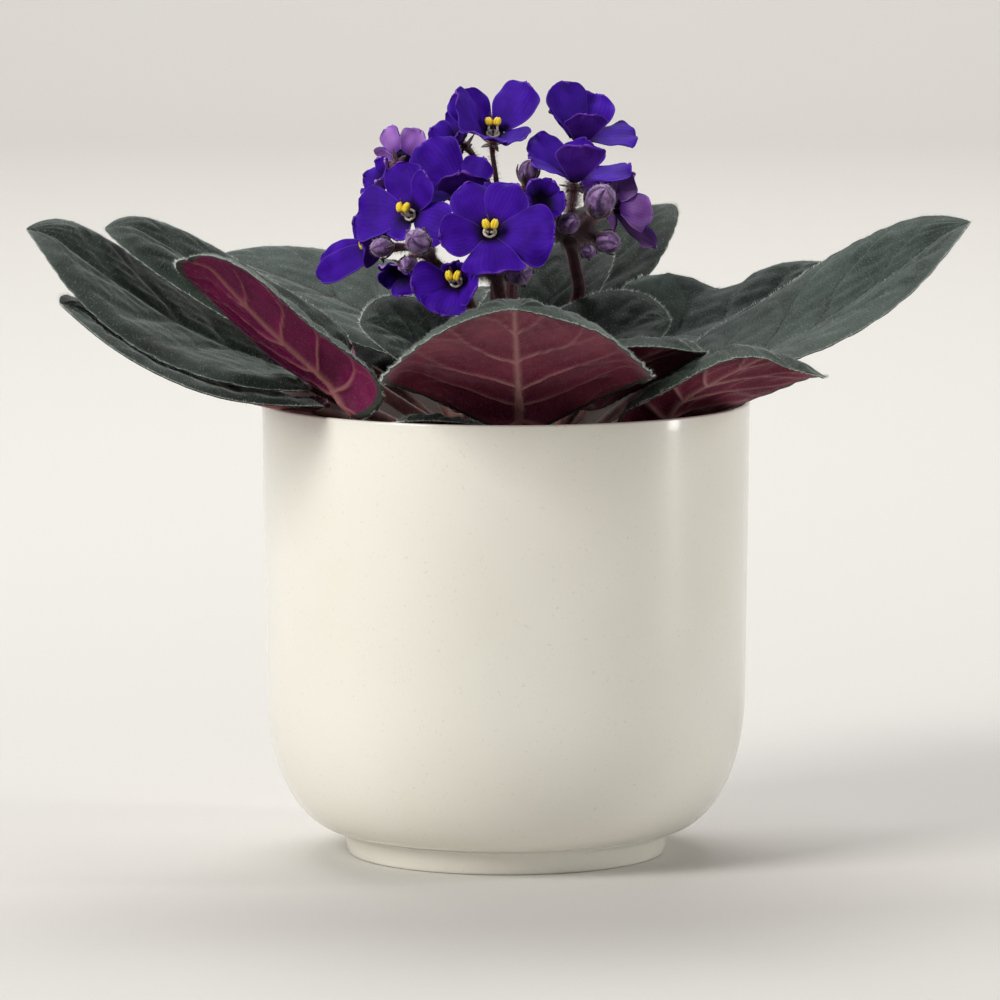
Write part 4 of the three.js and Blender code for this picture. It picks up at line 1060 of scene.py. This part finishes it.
for number, (node, (route, carries)) in enumerate(STALKS.items()):
    random = np.random.default_rng(700 + number)
    corners = [(p[0], p[1], p[2] if len(p) > 2 else 142.3) for p in route]
    corners.insert(1, (corners[0][0], corners[0][1], 146))
    fork = np.array(corners[-1], float)
    path = smooth_path(corners, 60)
    main, main_faces, main_out = rod(path, STALK_RADIUS * np.linspace(1.05, 0.85, 60), 16)
    parts = [(main, main_faces, 0)]
    shaggy = node in ("stalk_right", "stalk_front")
    roots, ways, spread = [main], [main_out], [MAIN_HAIRS]
    for name in carries:
        flower = FLOWERS.get(name) or HALF_OPEN.get(name)
        head = flower or BUDS.get(name) or YOUNG_BUDS[name]
        young = name in YOUNG_BUDS
        clear = -1 if young else 0.3
        behind = clear + (3.4 if flower else head["radius"] * BUD_STRETCH)
        end = stand([(0, 0, -behind)], head)[0]
        before = stand([(0, 0, -behind - 5)], head)[0]
        middle = (fork + before) / 2 + (0, 0, 0.12 * np.linalg.norm(fork - before))
        path = smooth_path([fork, middle, before, end], 34)
        radii = BRANCH_RADIUS * np.concatenate([np.linspace(1.05, 0.85, 26), np.linspace(0.87, 1.5, 8)])
        branch, faces, out = rod(path, radii, 10)
        parts.append((branch, faces, 0))
        roots.append(branch)
        ways.append(out)
        spread.append(SHAGGY_HAIRS if shaggy else BRANCH_HAIRS)
        size = 1.9 if flower else head["radius"]
        for k in range(5):
            turned = 2 * np.pi * (k + random.uniform(-0.12, 0.12)) / 5
            way = np.array([math.cos(turned), math.sin(turned), 0])
            if flower:
                spine = [way * 1.0 + (0, 0, -behind - 1.2), way * 2.6 + (0, 0, -behind - 0.9),
                         way * 4.6 + (0, 0, -behind + random.uniform(-1.6, 0.2))]
                width = 1.7
            else:
                grown = size * BUD_STRETCH
                spine = [way * 0.5 + (0, 0, -grown - 0.6), way * size * 0.78 + (0, 0, -grown * 0.68),
                         way * size * 1.12 + (0, 0, -grown * 0.1), way * size * 1.08 + (0, 0, grown * 0.45)]
                width = size * 0.62
            blade_points, faces = sepal(spine, width)
            parts.append((stand(blade_points, head), faces, 1))
        if young:
            points, faces, near = folded_bud(head["radius"])
            parts.append((stand(points, head), faces, 2, {"petal": np.stack([near, near], 1)}))
    for points, out, count in zip(roots, ways, spread):
        k = random.integers(0, len(out), count)
        slide = random.normal(0, 0.45, (count, 3))
        longest = 4.2 if shaggy and points is not main else 2.1
        parts.append((*hairs(points[k], out[k] + slide, random.uniform(0.6, longest, count), 0.042), 3))
    make_piece("flower_" + node, parts, [flower_stalk, sepal_finish, bud_finish, red_hair],
               node)

# ---------------------------------------------------------------- floor and light
# A plain pale sweep under and behind the plant, lit by a broad soft window light from the left,
# a weaker one from the right and one above and behind that catches the leaves' hairy edges. A fourth
# light falls only on the sweep.
floor_finish, tree, shader = new_finish("pale_floor", {"Base Color": (0.66, 0.64, 0.61, 1), "Roughness": 0.8})
bend_up = [(3.2 + 0.8 * math.sin(a), 0.8 * (1 - math.cos(a))) for a in np.linspace(0, np.pi / 2, 24)]
sweep = [(-6, 0), *bend_up, (4, 3.2)]
floor_points = [(x, y, z) for y, z in sweep for x in (-6, 6)]
floor_faces = [(2 * k, 2 * k + 1, 2 * k + 3, 2 * k + 2) for k in range(len(sweep) - 1)]
mesh = bpy.data.meshes.new("floor")
mesh.from_pydata(floor_points, [], floor_faces)
mesh.materials.append(floor_finish)
mesh.shade_smooth()
floor = bpy.data.objects.new("floor", mesh)
bpy.context.scene.collection.objects.link(floor)


def soft_light(name, place, size, power, colour, aimed_at=(0, 0, 0.13)):
    light = bpy.data.lights.new(name, "AREA")
    light.shape = "RECTANGLE"
    light.size, light.size_y = size
    light.energy, light.color = power, colour
    lamp = bpy.data.objects.new(name, light)
    lamp.location = place
    aim = np.array(aimed_at) - np.array(place)
    lamp.rotation_euler = (math.pi / 2 + math.atan2(aim[2], math.hypot(aim[0], aim[1])), 0,
                           math.atan2(aim[1], aim[0]) - math.pi / 2)
    bpy.context.scene.collection.objects.link(lamp)


soft_light("window_left", (-1.6, -1.3, 1.4), (0.9, 1.2), 46, (1, 0.985, 0.95))
soft_light("window_right", (1.3, -0.15, 0.35), (0.14, 1.3), 8, (1, 0.98, 0.95))
soft_light("window_above", (-0.2, 0.9, 1.7), (1.6, 0.9), 24, (1, 1, 1))
soft_light("sweep_light", (0, 1.9, 2.2), (3, 0.8), 60, (1, 0.99, 0.97), aimed_at=(0, 4, 0.3))
world = bpy.data.worlds.new("studio")
bpy.context.scene.world = world
world.use_nodes = True
world.node_tree.nodes["Background"].inputs["Color"].default_value = (0.9, 0.92, 0.95, 1)
world.node_tree.nodes["Background"].inputs["Strength"].default_value = 0.19
